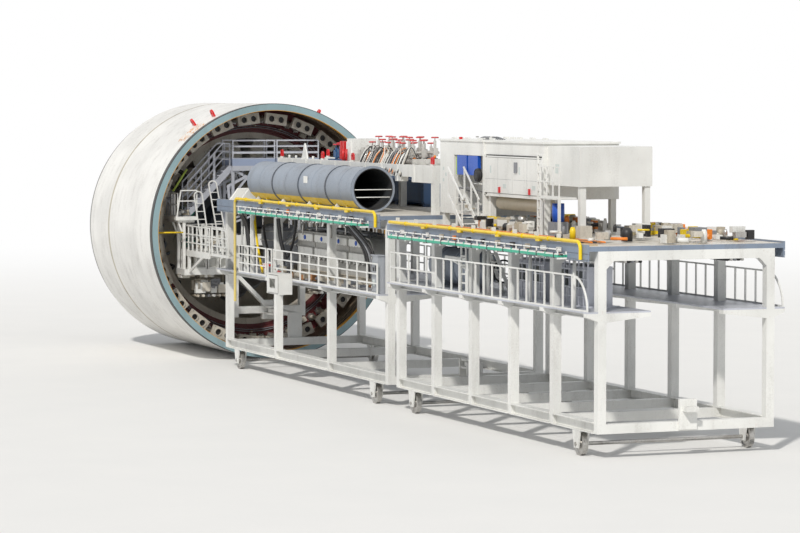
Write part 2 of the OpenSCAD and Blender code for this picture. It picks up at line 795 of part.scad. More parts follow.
g1_posts = [3100, 3900];        // the white posts under the deck's left edge, behind the gantry's front
fore_x1 = 2150;                 // length of the raised walkway at the front
module g1_frame() {
  color("whitesmoke") place() for (x = leg_places(g1_x0, g1_x1, g1_legs)) portal(x, g1_deck_z, g1_walk_z);
}

module g1_long_beams() {
  color("whitesmoke") place() {
    long_beams(g1_x0, g1_x1, g1_legs, g1_deck_z, g1_walk_z);
    for (x = g1_wheel_x) wheel_hangers(x);
    tongue(tow1_x, tow1_z, g1_x0 - tow1_x);
    block([g1_x0 - plate_t, -300, bed_z + 50], [g1_x0, 300, tow1_z + tongue_t / 2]);
    clevis(tow2_x, tow_z, tow2_x - g1_x1);
    block([g1_x1, -300, bed_z + 50], [g1_x1 + plate_t, 300, tow_z + clevis_gap / 2 + cheek_t]);
    for (x = g1_posts) for (s = [-1, 1])
      block([g1_x0 + x, s * (deck_half - 150) - 50, g1_walk_z],
        [g1_x0 + x + 100, s * (deck_half - 150) + 50, g1_deck_z - deck_t]);
    for (s = [-1, 1]) translate([0, s * (leg_y + leg_w / 2 + seat), 0]) mirror([0, s > 0 ? 0 : 1, 0]) {
      block([g1_x0, 0, catwalk_z - catwalk_t], [g1_x0 + fore_x1, catwalk_y1 - leg_y - leg_w / 2, catwalk_z]);
      translate([g1_x0, catwalk_y1 - leg_y - leg_w / 2 - 30, catwalk_z])
        lattice(fore_x1, rail_h, 3, 3, rail_t, rail_t);
      block([g1_x0 + fore_x1 - 100, 0, g1_walk_z], [g1_x0 + fore_x1, 100, catwalk_z - catwalk_t + 1]);
    }
  }
}

module g2_frame() {
  color("whitesmoke") place() for (x = leg_places(g2_x0, g2_x1, g2_legs)) portal(x, g2_deck_z, g2_walk_z);
}

module g2_long_beams() {
  color("whitesmoke") place() {
    long_beams(g2_x0, g2_x1, g2_legs, g2_deck_z, g2_walk_z);
    for (x = g2_wheel_x) wheel_hangers(x);
    tongue(tow2_x, tow_z, g2_x0 - tow2_x);
    block([g2_x0 - plate_t, -300, bed_z + 50], [g2_x0, 300, tow_z + tongue_t / 2]);
    translate([g2_x1, 0, tow_z]) difference() {
      translate([0, -200, -tongue_t / 2]) cube([eye_out, 400, tongue_t]);
      translate([eye_out - 200, 0, -tongue_t]) cylinder(h = 2 * tongue_t, r = pin_r + fit);
    }
    block([g2_x1, -300, bed_z + 50], [g2_x1 + plate_t, 300, tow_z + 300]);
  }
}

kerb_h = 60;
fascia_h = 450;
fascia_t = 60;
module deck(x0, x1, z) {
  difference() {
    block([x0, -deck_half, z - fascia_h], [x1, deck_half, z + kerb_h]);
    block([x0 - 1, -deck_half + fascia_t, z], [x1 + 1, deck_half - fascia_t, z + kerb_h + 1]);
    block([x0 - 1, -deck_half + fascia_t, z - fascia_h - 1], [x1 + 1, deck_half - fascia_t, z - deck_t]);
    for (s = [-1, 1]) for (h = [80, fascia_h - deck_t - 40]) translate([0, 0, z - deck_t - h])
      block([x0 - 1, s > 0 ? deck_half - 25 : -deck_half - 1, -12],
        [x1 + 1, s > 0 ? deck_half + 1 : -deck_half + 25, 12]);
  }
}

gland_r = 80;
gland_h = 150;
hose_r = 50;
hose_y = -2650;
// The hanging hose's route: x behind the tail rim, height above the shield's axis
HOSE = [
  [6200, 1150], [6200, 950], [6220, 700], [6270, 450], [6360, 200], [6500, -60], [6700, -330], [6960, -560],
  [7270, -730], [7600, -830], [7950, -870], [8300, -860], [8640, -800], [8960, -680], [9250, -510],
    [9500, -300],
  [9710, -60], [9880, 200], [10010, 460], [10100, 720], [10150, 950], [10170, 1150]
];

// A round tube swept along points of a plane, with a ring of sides at each
module swept(points, r, sides) {
  last = len(points) - 1;
  function along(i) = let(d = points[min(i + 1, last)] - points[max(i - 1, 0)]) d / norm(d);
  rings = [for (i = [0:last]) let(d = i == 0 || i == last ? [0, i == 0 ? -1 : 1] : along(i))
    for (k = [0:sides - 1]) let(a = k * 360 / sides)
      [points[i][0] + d[1] * r * cos(a), r * sin(a), points[i][1] - d[0] * r * cos(a)]];
  walls = [for (i = [0:last - 1]) for (k = [0:sides - 1]) let(n = (k + 1) % sides)
    [i * sides + k, i * sides + n, (i + 1) * sides + n, (i + 1) * sides + k]];
  ends = [[for (k = [sides - 1:-1:0]) k], [for (k = [0:sides - 1]) last * sides + k]];
  polyhedron(points = rings, faces = concat(walls, ends), convexity = 4);
}

module loop_hose() {
  color("black") place() translate([0, hose_y, 0]) swept(HOSE, hose_r, 10);
}

module g1_deck() {
  color("slategray") place() {
    deck(g1_x0, g1_x1, g1_deck_z);
    for (p = [HOSE[0], HOSE[len(HOSE) - 1]])
      translate([p[0], hose_y, g1_deck_z - deck_t - gland_h]) cylinder(h = gland_h + 1, r = gland_r);
  }
}
module g2_deck() { color("slategray") place() deck(g2_x0, g2_x1, g2_deck_z); }

line_r = 55;
line_y = -deck_half - line_r - seat;

// A quarter bend of the pipe, from pointing forward to pointing down, or the other way round
module line_bend(x, z, bend, forward) {
  translate([x, line_y, z - bend]) mirror([forward ? 1 : 0, 0, 0]) rotate([90, 0, 0])
    rotate_extrude(angle = 90) translate([bend, 0]) circle(r = line_r);
}

module yellow_line(x0, x1, z, bend, fore_drop) {
  drop = 300;
  clamps = floor((x1 - x0) / 3200);
  x_bar(x0 + (fore_drop > 0 ? bend : 0), x1 - bend, line_r, line_y, z);
  line_bend(x1 - bend, z, bend, false);
  translate([x1, line_y, z - bend - drop]) cylinder(h = drop, r = line_r);
  if (fore_drop > 0) {
    line_bend(x0 + bend, z, bend, true);
    translate([x0, line_y, z - bend - fore_drop]) cylinder(h = fore_drop, r = line_r);
  }
  for (i = [1:clamps]) translate([x0 + i * 3200 - 150, line_y, z - line_r - 60])
    rotate([90, 0, 0]) translate([0, 0, -line_r]) linear_extrude(2 * line_r) rounded(300, 80, 30);
}

module g1_yellow_line() {
  color("gold") place() yellow_line(g1_x0 + 2460, g1_x1 - 200, g1_deck_z + 140, 250, 3900);
}
module g2_yellow_line() {
  color("gold") place() yellow_line(g2_x0 + 400, g2_x1 - 400, g2_deck_z + 140, 250, 0);
}

tray_out = 320;
tray_in = 80;
tray_h = 110;
module cable_tray(x0, x1, z, brackets) {
  pitch = (x1 - x0 - 60) / (brackets - 1);
  rungs = floor((x1 - x0) / 400);
  for (s = [-1, 1]) mirror([0, s > 0 ? 0 : 1, 0]) {
    for (y = [deck_half + tray_in, deck_half + tray_out - 25]) block([x0, y, z], [x1, y + 25, z + tray_h]);
    for (i = [0:rungs]) translate([x0 + i * (x1 - x0 - 40) / rungs, 0, 0])
      block([0, deck_half + tray_in, z + 20], [40, deck_half + tray_out, z + 50]);
    for (i = [0:brackets - 1]) translate([x0 + i * pitch, 0, 0]) {
      block([0, deck_half, z - 60], [60, deck_half + tray_out, z]);
      block([0, deck_half, z - 60], [60, deck_half + 40, z + 180]);
      block([10, deck_half + tray_out - 30, z - 1], [50, deck_half + tray_out, z + 250]);
    }
    x_bar(x0 - 200, x1 + 200, 22, deck_half + tray_out - 15, z + 250);
  }
}

module g1_cable_tray() {
  color("mediumseagreen") place() cable_tray(g1_x0 + 3600, g1_x1 - 1000, g1_deck_z - fascia_h + 60, 10);
}
module g2_cable_tray() {
  color("mediumseagreen") place() cable_tray(g2_x0 + 900, g2_x1 - 1500, g2_deck_z - fascia_h + 60, 10);
}

module walkways(x0, x1, legs, z) {
  difference() {
    for (s = [-1, 1])
      block([x0, min(s * walk_in, s * deck_half), z - walk_t], [x1, max(s * walk_in, s * deck_half), z]);
    for (x = leg_places(x0, x1, legs)) for (s = [-1, 1])
      block([x, s * leg_y - leg_w / 2, z - walk_t - 1], [x + leg_w, s * leg_y + leg_w / 2, z + 1]);
  }
}

module g1_walkways() { color("silver") place() walkways(g1_x0, g1_x1, g1_legs, g1_walk_z); }
module g2_walkways() { color("silver") place() walkways(g2_x0, g2_x1, g2_legs, g2_walk_z); }

// A handrail along the outer edge of a walkway, in panels of [start, length, bays, rows]
module edge_rails(panels, z) {
  for (s = [-1, 1]) for (p = panels)
    translate([p[0], s * (deck_half - 30), z]) lattice(p[1], rail_h, p[2], p[3], rail_t, rail_t);
}

g1_rail_panels = [[g1_x0 + 2700, 3300, 3, 3], [g1_x0 + 6200, 500, 1, 2],
  [g1_x0 + 6900, g1_len - 7100, 11, 3]];
g2_rail_panels = [[g2_x0 + 300, 4200, 5, 2], [g2_x0 + 4450, g2_len - 5600, 16, 1]];
module g1_handrails() {
  color("white") place() edge_rails(g1_rail_panels, g1_walk_z);
}
module g2_handrails() {
  end = g2_x0 + g2_len - 1150;
  color("white") place() {
    edge_rails(g2_rail_panels, g2_walk_z);
    for (s = [-1, 1]) translate([end, s * (deck_half - 30), g2_walk_z]) plate_xz(-rail_t / 2, rail_t) {
      intersection() {
        difference() {
          circle(r = rail_h);
          circle(r = rail_h - rail_t);
        }
        square(rail_h);
      }
      square([rail_h, rail_t]);
    }
  }
}

duct_x0 = g1_x0 + 2800;
duct_y = -deck_half + duct_r + 360;
duct_z = g1_deck_z + duct_r + 60;
duct_t = 30;
duct_dome = 380;
module air_duct() {
  length = duct_section * duct_sections;
  color("slategray") place() {
    translate([duct_x0, duct_y, duct_z]) x_turned([
      for (a = [0:15:90]) [duct_r * sin(a), -duct_dome * cos(a)], [duct_r, length], [duct_r - duct_t, length],
      [duct_r - duct_t, 0], [0, 0]
    ]);
    for (i = [1:duct_sections - 1])
      x_tube(duct_x0 + i * duct_section - 30, duct_x0 + i * duct_section + 30,
        duct_r + 25, duct_r - 1, duct_y, duct_z);
    for (i = [0:duct_sections - 1]) {
      middle = duct_x0 + (i + 0.5) * duct_section;
      x_tube(middle - 12, middle + 12, duct_r + 8, duct_r - 1, duct_y, duct_z);
      difference() {
        block([middle - 60, duct_y - 500, g1_deck_z], [middle + 60, duct_y + 500, g1_deck_z + 300]);
        x_bar(duct_x0, duct_x0 + length, duct_r - duct_t / 2, duct_y, duct_z);
      }
    }
    for (x = [length - 160, length - 40])
      x_tube(duct_x0 + x, duct_x0 + x + 40, duct_r + 60, duct_r - 1, duct_y, duct_z);
  }
}

beam_x0 = g1_x0 + 1100;
beam_x1 = g1_x1 - 400;
beam_z0 = 2580;
beam_z1 = 3200;
beam_t = 300;
notch_pitch = 1650;
notch_w = 1100;
notch_h = 180;
beam_y = 1000;
module notched_beams() {
  notches = floor((beam_x1 - beam_x0 - 400) / notch_pitch);
  half = beam_y - beam_t / 2;
  color("white") place() {
    for (s = [-1, 1]) {
      plate_xz(s * beam_y - beam_t / 2, beam_t) difference() {
        polygon([[beam_x0 + 260, beam_z0], [beam_x1, beam_z0], [beam_x1, beam_z1], [beam_x0, beam_z1],
                 [beam_x0, beam_z1 - 150]]);
        for (i = [0:notches - 1]) translate([beam_x0 + 450 + i * notch_pitch, beam_z0 - 1])
          square([notch_w, notch_h + 1]);
      }
      for (i = [0:notches - 1]) translate([beam_x0 + 450 + notch_w + 200 + i * notch_pitch, 0, 0])
        block([0, s * (beam_y + beam_t / 2) - 30, beam_z0], [60, s * (beam_y + beam_t / 2) + 30, beam_z1]);
      for (x = [beam_x0 + 300, (beam_x0 + beam_x1) / 2 - 50, beam_x1 - 250])
        block([x, s * beam_y - 120, g1_deck_z], [x + 250, s * beam_y + 120, beam_z0 + 200]);
      for (x = [beam_x0 + 80, beam_x0 + 4880, beam_x0 + 8230, beam_x1 - 470])
        block([x, s * beam_y - 60, beam_z1 - 1], [x + 140, s * beam_y + 60, beam_z1 + 60]);
    }
    block([beam_x0 + 300, -half + seat, beam_z1 - 200], [beam_x1 - 300, half - seat, beam_z1 - 140]);
    for (i = [0:5]) block([beam_x0 + 300 + i * 3000, -half + seat, beam_z1 - 400],
                          [beam_x0 + 450 + i * 3000, half - seat, beam_z1 - 199]);
  }
}

lug_w = 260;
module beam_lugs() {
  color("red") place() for (x = [beam_x0 + 150, beam_x0 + 4950, beam_x0 + 8300, beam_x1 - 400])
    for (s = [-1, 1]) translate([x, s * beam_y, beam_z1 + 60]) lug(lug_w, 60);
}

tank_x0 = g1_x0 + 7300;
tank_x1 = g1_x0 + 15400;
tank_y0 = -2450;
tank_y1 = -1300;
tank_z1 = 490;
tank_round = 700;
bays = 4;
pillow_h = 340;

// A panel with a raised middle on the tank's left side
module pillow(w) {
  translate([0, tank_y0, 0]) rotate([90, 0, 0]) {
    linear_extrude(50) rounded(w, pillow_h, 80);
    translate([35, 35, 0]) linear_extrude(85) rounded(w - 70, pillow_h - 70, 60);
  }
}

module fluid_tank() {
  z0 = g1_walk_z + 350;
  bay = (tank_x1 - tank_round - tank_x0) / bays;
  color("silver") place() {
    plate_xz(tank_y0, tank_y1 - tank_y0) {
      polygon([[tank_x0, z0], [tank_x1, z0], [tank_x1, tank_z1 - tank_round],
               [tank_x1 - tank_round, tank_z1], [tank_x0, tank_z1]]);
      translate([tank_x1 - tank_round, tank_z1 - tank_round]) intersection() {
        circle(r = tank_round);
        square(tank_round);
      }
    }
    for (i = [0:bays - 1]) for (z = [tank_z1 - 60 - pillow_h, tank_z1 - 580 - pillow_h])
      translate([tank_x0 + i * bay + 80, 0, z]) pillow(bay - 160);
    for (i = [0:4 * bays - 1]) translate([tank_x0 + (i + 0.5) * bay / 4, tank_y0 + 1, tank_z1 - 1000])
      rotate([90, 0, 0]) cylinder(h = 90, r = 55);
    translate([tank_x1 - tank_round, 0, tank_z1 - tank_round]) plate_xz(tank_y0 - 50, 51) intersection() {
      difference() {
        circle(r = tank_round - 60);
        circle(r = tank_round - 60 - pillow_h);
      }
      square(tank_round);
    }
    plate_yz(tank_x0 + 50, tank_x1 - tank_x0 - 350) translate([tank_y0 + 60, g1_walk_z])
      rounded(tank_y1 - tank_y0 - 160, z0 - g1_walk_z + 150, 150);
    for (i = [0:bays]) translate([tank_x0 + i * bay - 20, 0, 0])
      block([0, tank_y0 - 25, z0], [40, tank_y0 + 1, tank_z1 - 20]);
    for (i = [0:2]) translate([tank_x0 + 1200 + i * 2400, (tank_y0 + tank_y1) / 2, tank_z1 - 1]) {
      cylinder(h = 120, r = 260);
      cylinder(h = 160, r = 210);
    }
  }
}

grout_x = g1_x0 + 3300;
grout_y = -1900;
module grout_machine() {
  legs = 4;
  color("lightgray") place() translate([grout_x, grout_y, g1_walk_z]) {
    translate([0, 0, 350]) rotate_extrude() polygon([
      [0, 0], [300, 0], [330, 60], [360, 250], [650, 750], [680, 850], [680, 1350], [650, 1440], [560, 1520],
      [400, 1580], [0, 1600]
    ]);
    for (i = [0:legs - 1]) rotate([0, 0, 45 + i * 90]) {
      block([520, -60, 0], [640, 60, 1100]);
      block([460, -90, 0], [700, 90, 30]);
    }
    translate([0, 0, 1940]) cylinder(h = 260, r = 140);
    translate([0, 0, 0]) cylinder(h = 360, r = 170);
  }
}

pack_x0 = g1_x0 + 4200;
pack_len = 6400;
pack_y0 = 1450;
pack_y1 = 3050;
pack_h = 950;
pumps = 5;

// The valves' power pack on the right of the deck: oil tank, pumps and their motors
module power_pack() {
  pitch = pack_len / pumps;
  z0 = g1_deck_z + 120;
  plate_yz(pack_x0, pack_len) translate([pack_y0, z0]) rounded(pack_y1 - pack_y0, pack_h, 110);
  for (x = [pack_x0 + 200, pack_x0 + pack_len / 2, pack_x0 + pack_len - 400])
    block([x, pack_y0 + 100, g1_deck_z], [x + 200, pack_y1 - 100, z0 + 1]);
  for (i = [0:pumps - 1]) translate([pack_x0 + (i + 0.5) * pitch, pack_y0 + 100, z0 + pack_h + 260]) {
    block([-180, 0, -262], [180, 900, -180]);
    rotate([-90, 0, 0]) {
      cylinder(h = 800, r = 230);
      for (k = [0:6]) translate([0, 0, 90 + k * 95]) cylinder(h = 30, r = 252);
      translate([0, 0, 799]) cylinder(h = 160, r = 150);
      translate([0, 0, 958]) cylinder(h = 300, r = 110);
    }
    block([-120, 250, 200], [120, 550, 330]);
  }
}

// A valve on a pipe: body, bonnet, stem and handwheel, h high
module valve(h) {
  wheel_r = 120;
  cylinder(h = h - 120, r = 55);
  translate([-95, -95, h / 2 - 190]) cube([190, 190, 260]);
  translate([0, 0, h / 2 - 230]) cylinder(h = 40, r = 120);
  cylinder(h = h, r = 18);
  translate([0, 0, h - 18]) difference() {
    cylinder(h = 36, r = wheel_r + 18);
    translate([0, 0, -1]) cylinder(h = 38, r = wheel_r - 18);
  }
  for (a = [0, 90]) rotate([0, 0, a]) translate([-wheel_r, -12, h - 12]) cube([2 * wheel_r, 24, 24]);
}

valve_x0 = beam_x0 + 4600;
valve_z = beam_z1 - 140;
// columns: x behind valve_x0, y, height
VALVES = [
  for (i = [0:2]) for (y = [-420, 0, 420]) [350 + i * 420, y, 560 + 60 * i],
  for (i = [0:8]) for (y = [-500, -80, 380])
    [4500 + i * 520, y + (i % 2) * 60, 700 + 110 * ((i * 2 + (y > 0 ? 1 : 0)) % 3)]
];
module valve_station() {
  color("steelblue") place() power_pack();
  color("steelblue") place() translate([valve_x0, 0, valve_z]) {
    block([0, -650, 0], [1600, 650, 180]);
    block([1750, -500, 0], [2350, 500, 1000]);
    block([1810, -560, 120], [2290, -499, 880]);
    block([2550, -620, 0], [3900, 620, 120]);
    for (i = [0:2]) block([2650 + i * 420, -520, 119], [2950 + i * 420, 520, 420 + 90 * i]);
    for (i = [0:2]) for (y = [-380, 0, 380]) translate([2800 + i * 420, y, 419 + 90 * i])
      cylinder(h = 160, r = 70);
    block([4200, -700, 0], [9100, 700, 100]);
    for (y = [-500, -80, 380]) x_bar(4250, 9050, 85, y, 230);
    for (x = [4300, 6600, 8900]) block([x, -640, 99], [x + 120, 560, 330]);
    for (v = VALVES) translate([v[0], v[1], v[0] > 4000 ? 200 : 179]) valve(v[2]);
    for (i = [0:4]) translate([4500 + i * 1040, 0, 560]) rotate([90, 0, 0])
      cylinder(h = 1100, r = 45, center = true);
  }
}

cab_x0 = g1_x0 + 7950;
cab_w = 1200;
cab_h = 800;
cab_d = 560;
cab_z = g1_walk_z - 550;
cab_door_h = cab_h - 140;
door_t = 40;
cab_y0 = -deck_half - cab_d - clear - door_t;
panel_x0 = g1_x1 - 950;
module g1_cabinet() {
  color("white") place() {
    translate([cab_x0, cab_y0 + door_t + clear, cab_z]) difference() {
      cube([cab_w, cab_d, cab_h]);
      translate([50, -1, 50]) cube([cab_w - 100, cab_d - 50 + 1, cab_h - 100]);
    }
    translate([cab_x0 + hinge_r, cab_y0 + hinge_r, cab_z + hinge_lug + 10]) hinge_pin(cab_door_h);
    block([panel_x0, -deck_half + 100, g1_walk_z], [panel_x0 + 600, -deck_half + 380, g1_walk_z + 1350]);
    block([panel_x0 - 40, -deck_half + 70, g1_walk_z + 1350],
      [panel_x0 + 640, -deck_half + 410, g1_walk_z + 1390]);
  }
}

hinge_r = 25;
hinge_pin_r = 12;
hinge_lug = 60;

// The pin that a door turns on, held by a lug at each end, with its axis on z
module hinge_pin(h) {
  translate([0, 0, -hinge_lug]) cylinder(h = h + 2 * hinge_lug, r = hinge_pin_r);
  for (z = [-hinge_lug, h + seat]) translate([-hinge_r, -hinge_r, z])
    cube([hinge_r + hinge_pin_r + 3, door_t + clear + 5, hinge_lug - seat]);
}

module door(w, h) {
  difference() {
    union() {
      translate([hinge_r, 0, 0]) cube([w - hinge_r, door_t, h]);
      translate([hinge_r, hinge_r, 0]) cylinder(h = h, r = hinge_r);
    }
    translate([hinge_r, hinge_r, -1]) cylinder(h = h + 2, r = hinge_pin_r + fit);
  }
}

module g1_cabinet_door() {
  color("white") place() translate([cab_x0, cab_y0, cab_z + hinge_lug + 10]) difference() {
    door(cab_w, cab_door_h);
    translate([250, -1, 170]) rotate([90, 0, 0]) translate([0, 0, -door_t - 2])
      linear_extrude(door_t + 3) rounded(cab_w - 500, cab_door_h - 300, 60);
  }
}

module g1_wheels_front() { wheelset(g1_wheel_x[0]); }
module g1_wheels_rear() { wheelset(g1_wheel_x[1]); }
module g2_wheels_front() { wheelset(g2_wheel_x[0]); }
module g2_wheels_rear() { wheelset(g2_wheel_x[1]); }

// Rear gantry's load

box_y0 = -1400;
box_y1 = 1400;
box_z0 = g2_deck_z + 1150;
box_z1 = 4150;
box_x0 = g2_x0 + 100;
recess_x0 = box_x0 + 1200;
recess_x1 = recess_x0 + 2700;
cabinet_x1 = recess_x1 + 4900;
tail_box_x1 = cabinet_x1 + 2500;
body_z0 = g2_deck_z + 450;      // underside of the container, lower than the cabinet's
leaf_z = box_z0 + hinge_lug + 70;
leaf_h = box_z1 - box_z0 - 650;
roof_t = 60;
foot_w = 200;
module container() {
  color("white") place() {
    difference() {
      block([box_x0, box_y0, body_z0], [recess_x1, box_y1, box_z1]);
      block([recess_x0 + 80, box_y0 - 1, body_z0 + 80], [recess_x1 - 80, box_y0 + 900, box_z1 - 480]);
    }
    block([box_x0 - 40, box_y0 - 40, box_z1 - 1], [recess_x1, box_y1 + 40, box_z1 + roof_t]);
    for (x = [box_x0 + 100, recess_x0 + 100, recess_x1 - 300]) for (y = [box_y0 + 50, box_y1 - 250])
      block([x, y, g2_deck_z], [x + foot_w, y + foot_w, body_z0 + 1]);
  }
}

// The cabinet's floor, head, end walls and back are bolted together; its open front takes the two leaves
module switch_cabinet() {
  pipe_r = 230;
  wall = 60;
  head_z = box_z1 - 420;
  front = box_y0 + door_t + clear;
  color("white") place() {
    block([recess_x1 + seat, front, box_z0], [cabinet_x1, box_y1, box_z0 + wall]);
    block([recess_x1 + seat, front, head_z], [cabinet_x1, box_y1, box_z1]);
    for (x = [recess_x1 + seat, cabinet_x1 - wall])
      block([x, front, box_z0 + wall + seat], [x + wall - seat, box_y1, head_z - seat]);
    block([recess_x1 + wall + seat, box_y1 - wall, box_z0 + wall + seat],
      [cabinet_x1 - wall - seat, box_y1, head_z - seat]);
    block([recess_x1 + seat, box_y0 + 10, box_z1 - 1], [cabinet_x1 + 60, box_y1 + 40, box_z1 + roof_t]);
    for (x = [recess_x1 + 100, cabinet_x1 - 300]) for (y = [box_y0 + 150, box_y1 - 250])
      block([x, y, g2_deck_z], [x + foot_w, y + foot_w, box_z0 + 1]);
    block([cabinet_x1 + seat, box_y0 + 200, box_z0 + 500], [tail_box_x1, box_y1, box_z1 - 60]);
    for (y = [box_y0 + 250, box_y1 - 250])
      block([tail_box_x1 - 250, y, g2_deck_z], [tail_box_x1 - 50, y + foot_w, box_z0 + 501]);
    x_bar(recess_x1 + 450, cabinet_x1 - 450, pipe_r, box_y0 + 500, box_z0 - pipe_r - seat);
    translate([0, box_y0 + hinge_r, leaf_z]) {
      translate([recess_x1 + hinge_in + hinge_r, 0, 0]) hinge_pin(leaf_h);
      translate([cabinet_x1 - hinge_in - hinge_r, 0, 0]) mirror([1, 0, 0]) hinge_pin(leaf_h);
    }
  }
}

hinge_in = 40;                  // distance of the leaves inside the cabinet's ends
leaf_w = (cabinet_x1 - recess_x1) / 2 - hinge_in - 10;
module switch_door_left() {
  color("white") place() translate([recess_x1 + hinge_in, box_y0, leaf_z]) door(leaf_w, leaf_h);
}
module switch_door_right() {
  color("white") place() translate([cabinet_x1 - hinge_in, box_y0, leaf_z]) mirror([1, 0, 0])
    door(leaf_w, leaf_h);
}

fan_x0 = g2_x0 + 1900;
fan_x1 = g2_x0 + 5300;
fan_r = 620;
fan_y = -2000;
fan_z = g2_walk_z + fan_r + 100;
fan_mouth_r = 400;
module fan_silencer() {
  color("darkgray") place() {
    translate([0, fan_y, fan_z]) x_turned([
      [0, fan_x0], [fan_r - 80, fan_x0], [fan_r, fan_x0 + 80], [fan_r, fan_x1], [fan_mouth_r, fan_x1 + 450],
      [fan_mouth_r, fan_x1 + 900], [fan_mouth_r - 40, fan_x1 + 900], [fan_mouth_r - 40, fan_x1 + 440],
      [fan_r - 60, fan_x1], [fan_r - 60, fan_x0 + 90], [0, fan_x0 + 90]
    ]);
    for (x = [fan_x0 + 900, fan_x0 + 2300]) translate([x, 0, 0])
      x_tube(0, 60, fan_r + 30, fan_r - 1, fan_y, fan_z);
    for (x = [fan_x0 + 500, fan_x1 - 650]) difference() {
      block([x, fan_y - 450, g2_walk_z], [x + 150, fan_y + 450, fan_z - fan_r + 230]);
      x_bar(x - 1, x + 151, fan_r - 30, fan_y, fan_z);
    }
  }
}

cage_w = 2800;
cage_h = 1450;
module mesh_cages() {
  color("silver") place() for (x = [g2_x0 + 8700, g2_x0 + 12000]) {
    block([x + 200, -2400, g2_walk_z], [x + cage_w - 300, -1500, g2_walk_z + cage_h - 200]);
    translate([x, -2480, g2_walk_z]) lattice(cage_w, cage_h, 8, 5, 40, 40);
    for (dx = [0, cage_w - 40])
      block([x + dx, -2460, g2_walk_z], [x + dx + 40, -1400, g2_walk_z + 40]);
  }
}

// A stair's side seen from the left: stringer, posts and handrail, down to the rear by drop over run
stair_side_w = 140;
module stair_side(run, drop) {
  strip([0, 0], [run, -drop], stair_side_w);
  translate([run - 100, -drop - stair_side_w / 2]) square([120, 80]);
  bars([[0, 950], [run, 950 - drop]], rail_t);
  for (k = [0.05, 0.5, 0.95]) strip([k * run, -k * drop], [k * run, 950 - k * drop], rail_t);
}

ramp_x0 = g2_x0 + 6950;
ramp_w = 610;
ramp_treads = 6;
g2_stair_x = recess_x0 + 1150;
g2_stair_w = 650;
g2_stair_z = body_z0 + 700;
module g2_ladders() {
  drop = g2_stair_z - g2_deck_z - stair_side_w / 2;
  run = 1350;
  treads = 5;
  side_y = box_y0 - 60 - g2_stair_w;
  color("white") place() {
    translate([cabinet_x1 + 300, box_y0 - 300, g2_deck_z]) lattice(450, 2700, 1, 9, 50, 50);
    translate([cabinet_x1 + 900, box_y0 - 500, g2_deck_z]) {
      block([0, 0, 1250], [1500, 640, 1310]);
      for (x = [0, 1420]) block([x, 0, 0], [x + 80, 80, 1251]);
      translate([0, 25, 1310]) lattice(1500, 1000, 3, 2, 40, 40);
    }
    for (y = [side_y, side_y + g2_stair_w - 50]) translate([g2_stair_x, 0, g2_stair_z])
      plate_xz(y, 50) stair_side(run, drop);
    for (i = [0:treads - 1])
      translate([g2_stair_x + (i + 0.5) * run / treads, side_y, g2_stair_z - (i + 0.5) * drop / treads])
      block([-110, 25, -15], [110, g2_stair_w - 25, 15]);
    translate([g2_x0 + 6300, -deck_half + 200, g2_walk_z])
      lattice(450, g2_deck_z - g2_walk_z - deck_t, 1, 6, 50, 50);
    low_z = g2_walk_z + seat;
    high_z = g2_deck_z - deck_t - seat;
    ramp_back = 800 / (ramp_treads + 1);
    ramp_down = (high_z - low_z) / (ramp_treads + 1);
    for (x = [ramp_x0, ramp_x0 + ramp_w - 60]) plate_yz(x, 60) intersection() {
      strip([-2700, high_z + 100], [-1900, low_z - 100], 110);
      translate([-3000, low_z]) square([1400, high_z - low_z]);
    }
    for (k = [1:ramp_treads])
      translate([ramp_x0, -2700 + k * ramp_back, high_z - k * ramp_down])
      block([0, -110, -12], [ramp_w, 110, 12]);
  }
}

front_shield();
bulkhead();
tail_skin();
tail_rim();
shield_lugs();
main_drive();
drive_motors();
man_locks();
screw_conveyor();
carrier_ring();
thrust_barrels();
bridge_frame();
upper_platform();
shield_stair();
side_platforms();
lower_baskets();
shield_tow_bracket();
cutterhead();
disc_cutters();
head_scrapers();
thrust_rods_top();
thrust_rods_right();
thrust_rods_bottom();
thrust_rods_left();
erector_ring();
erector_head();
g1_frame();
g1_long_beams();
g1_deck();
g1_yellow_line();
g1_cable_tray();
g1_walkways();
g1_handrails();
air_duct();
notched_beams();
beam_lugs();
fluid_tank();
grout_machine();
valve_station();
loop_hose();
g1_cabinet();
g1_cabinet_door();
g1_wheels_front();
g1_wheels_rear();
g2_frame();
g2_long_beams();
g2_deck();
g2_yellow_line();
g2_cable_tray();
g2_walkways();
g2_handrails();
container();
switch_cabinet();
switch_door_left();
switch_door_right();
fan_silencer();
mesh_cages();
g2_ladders();
g2_wheels_front();
g2_wheels_rear();
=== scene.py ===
import json
import math
import random

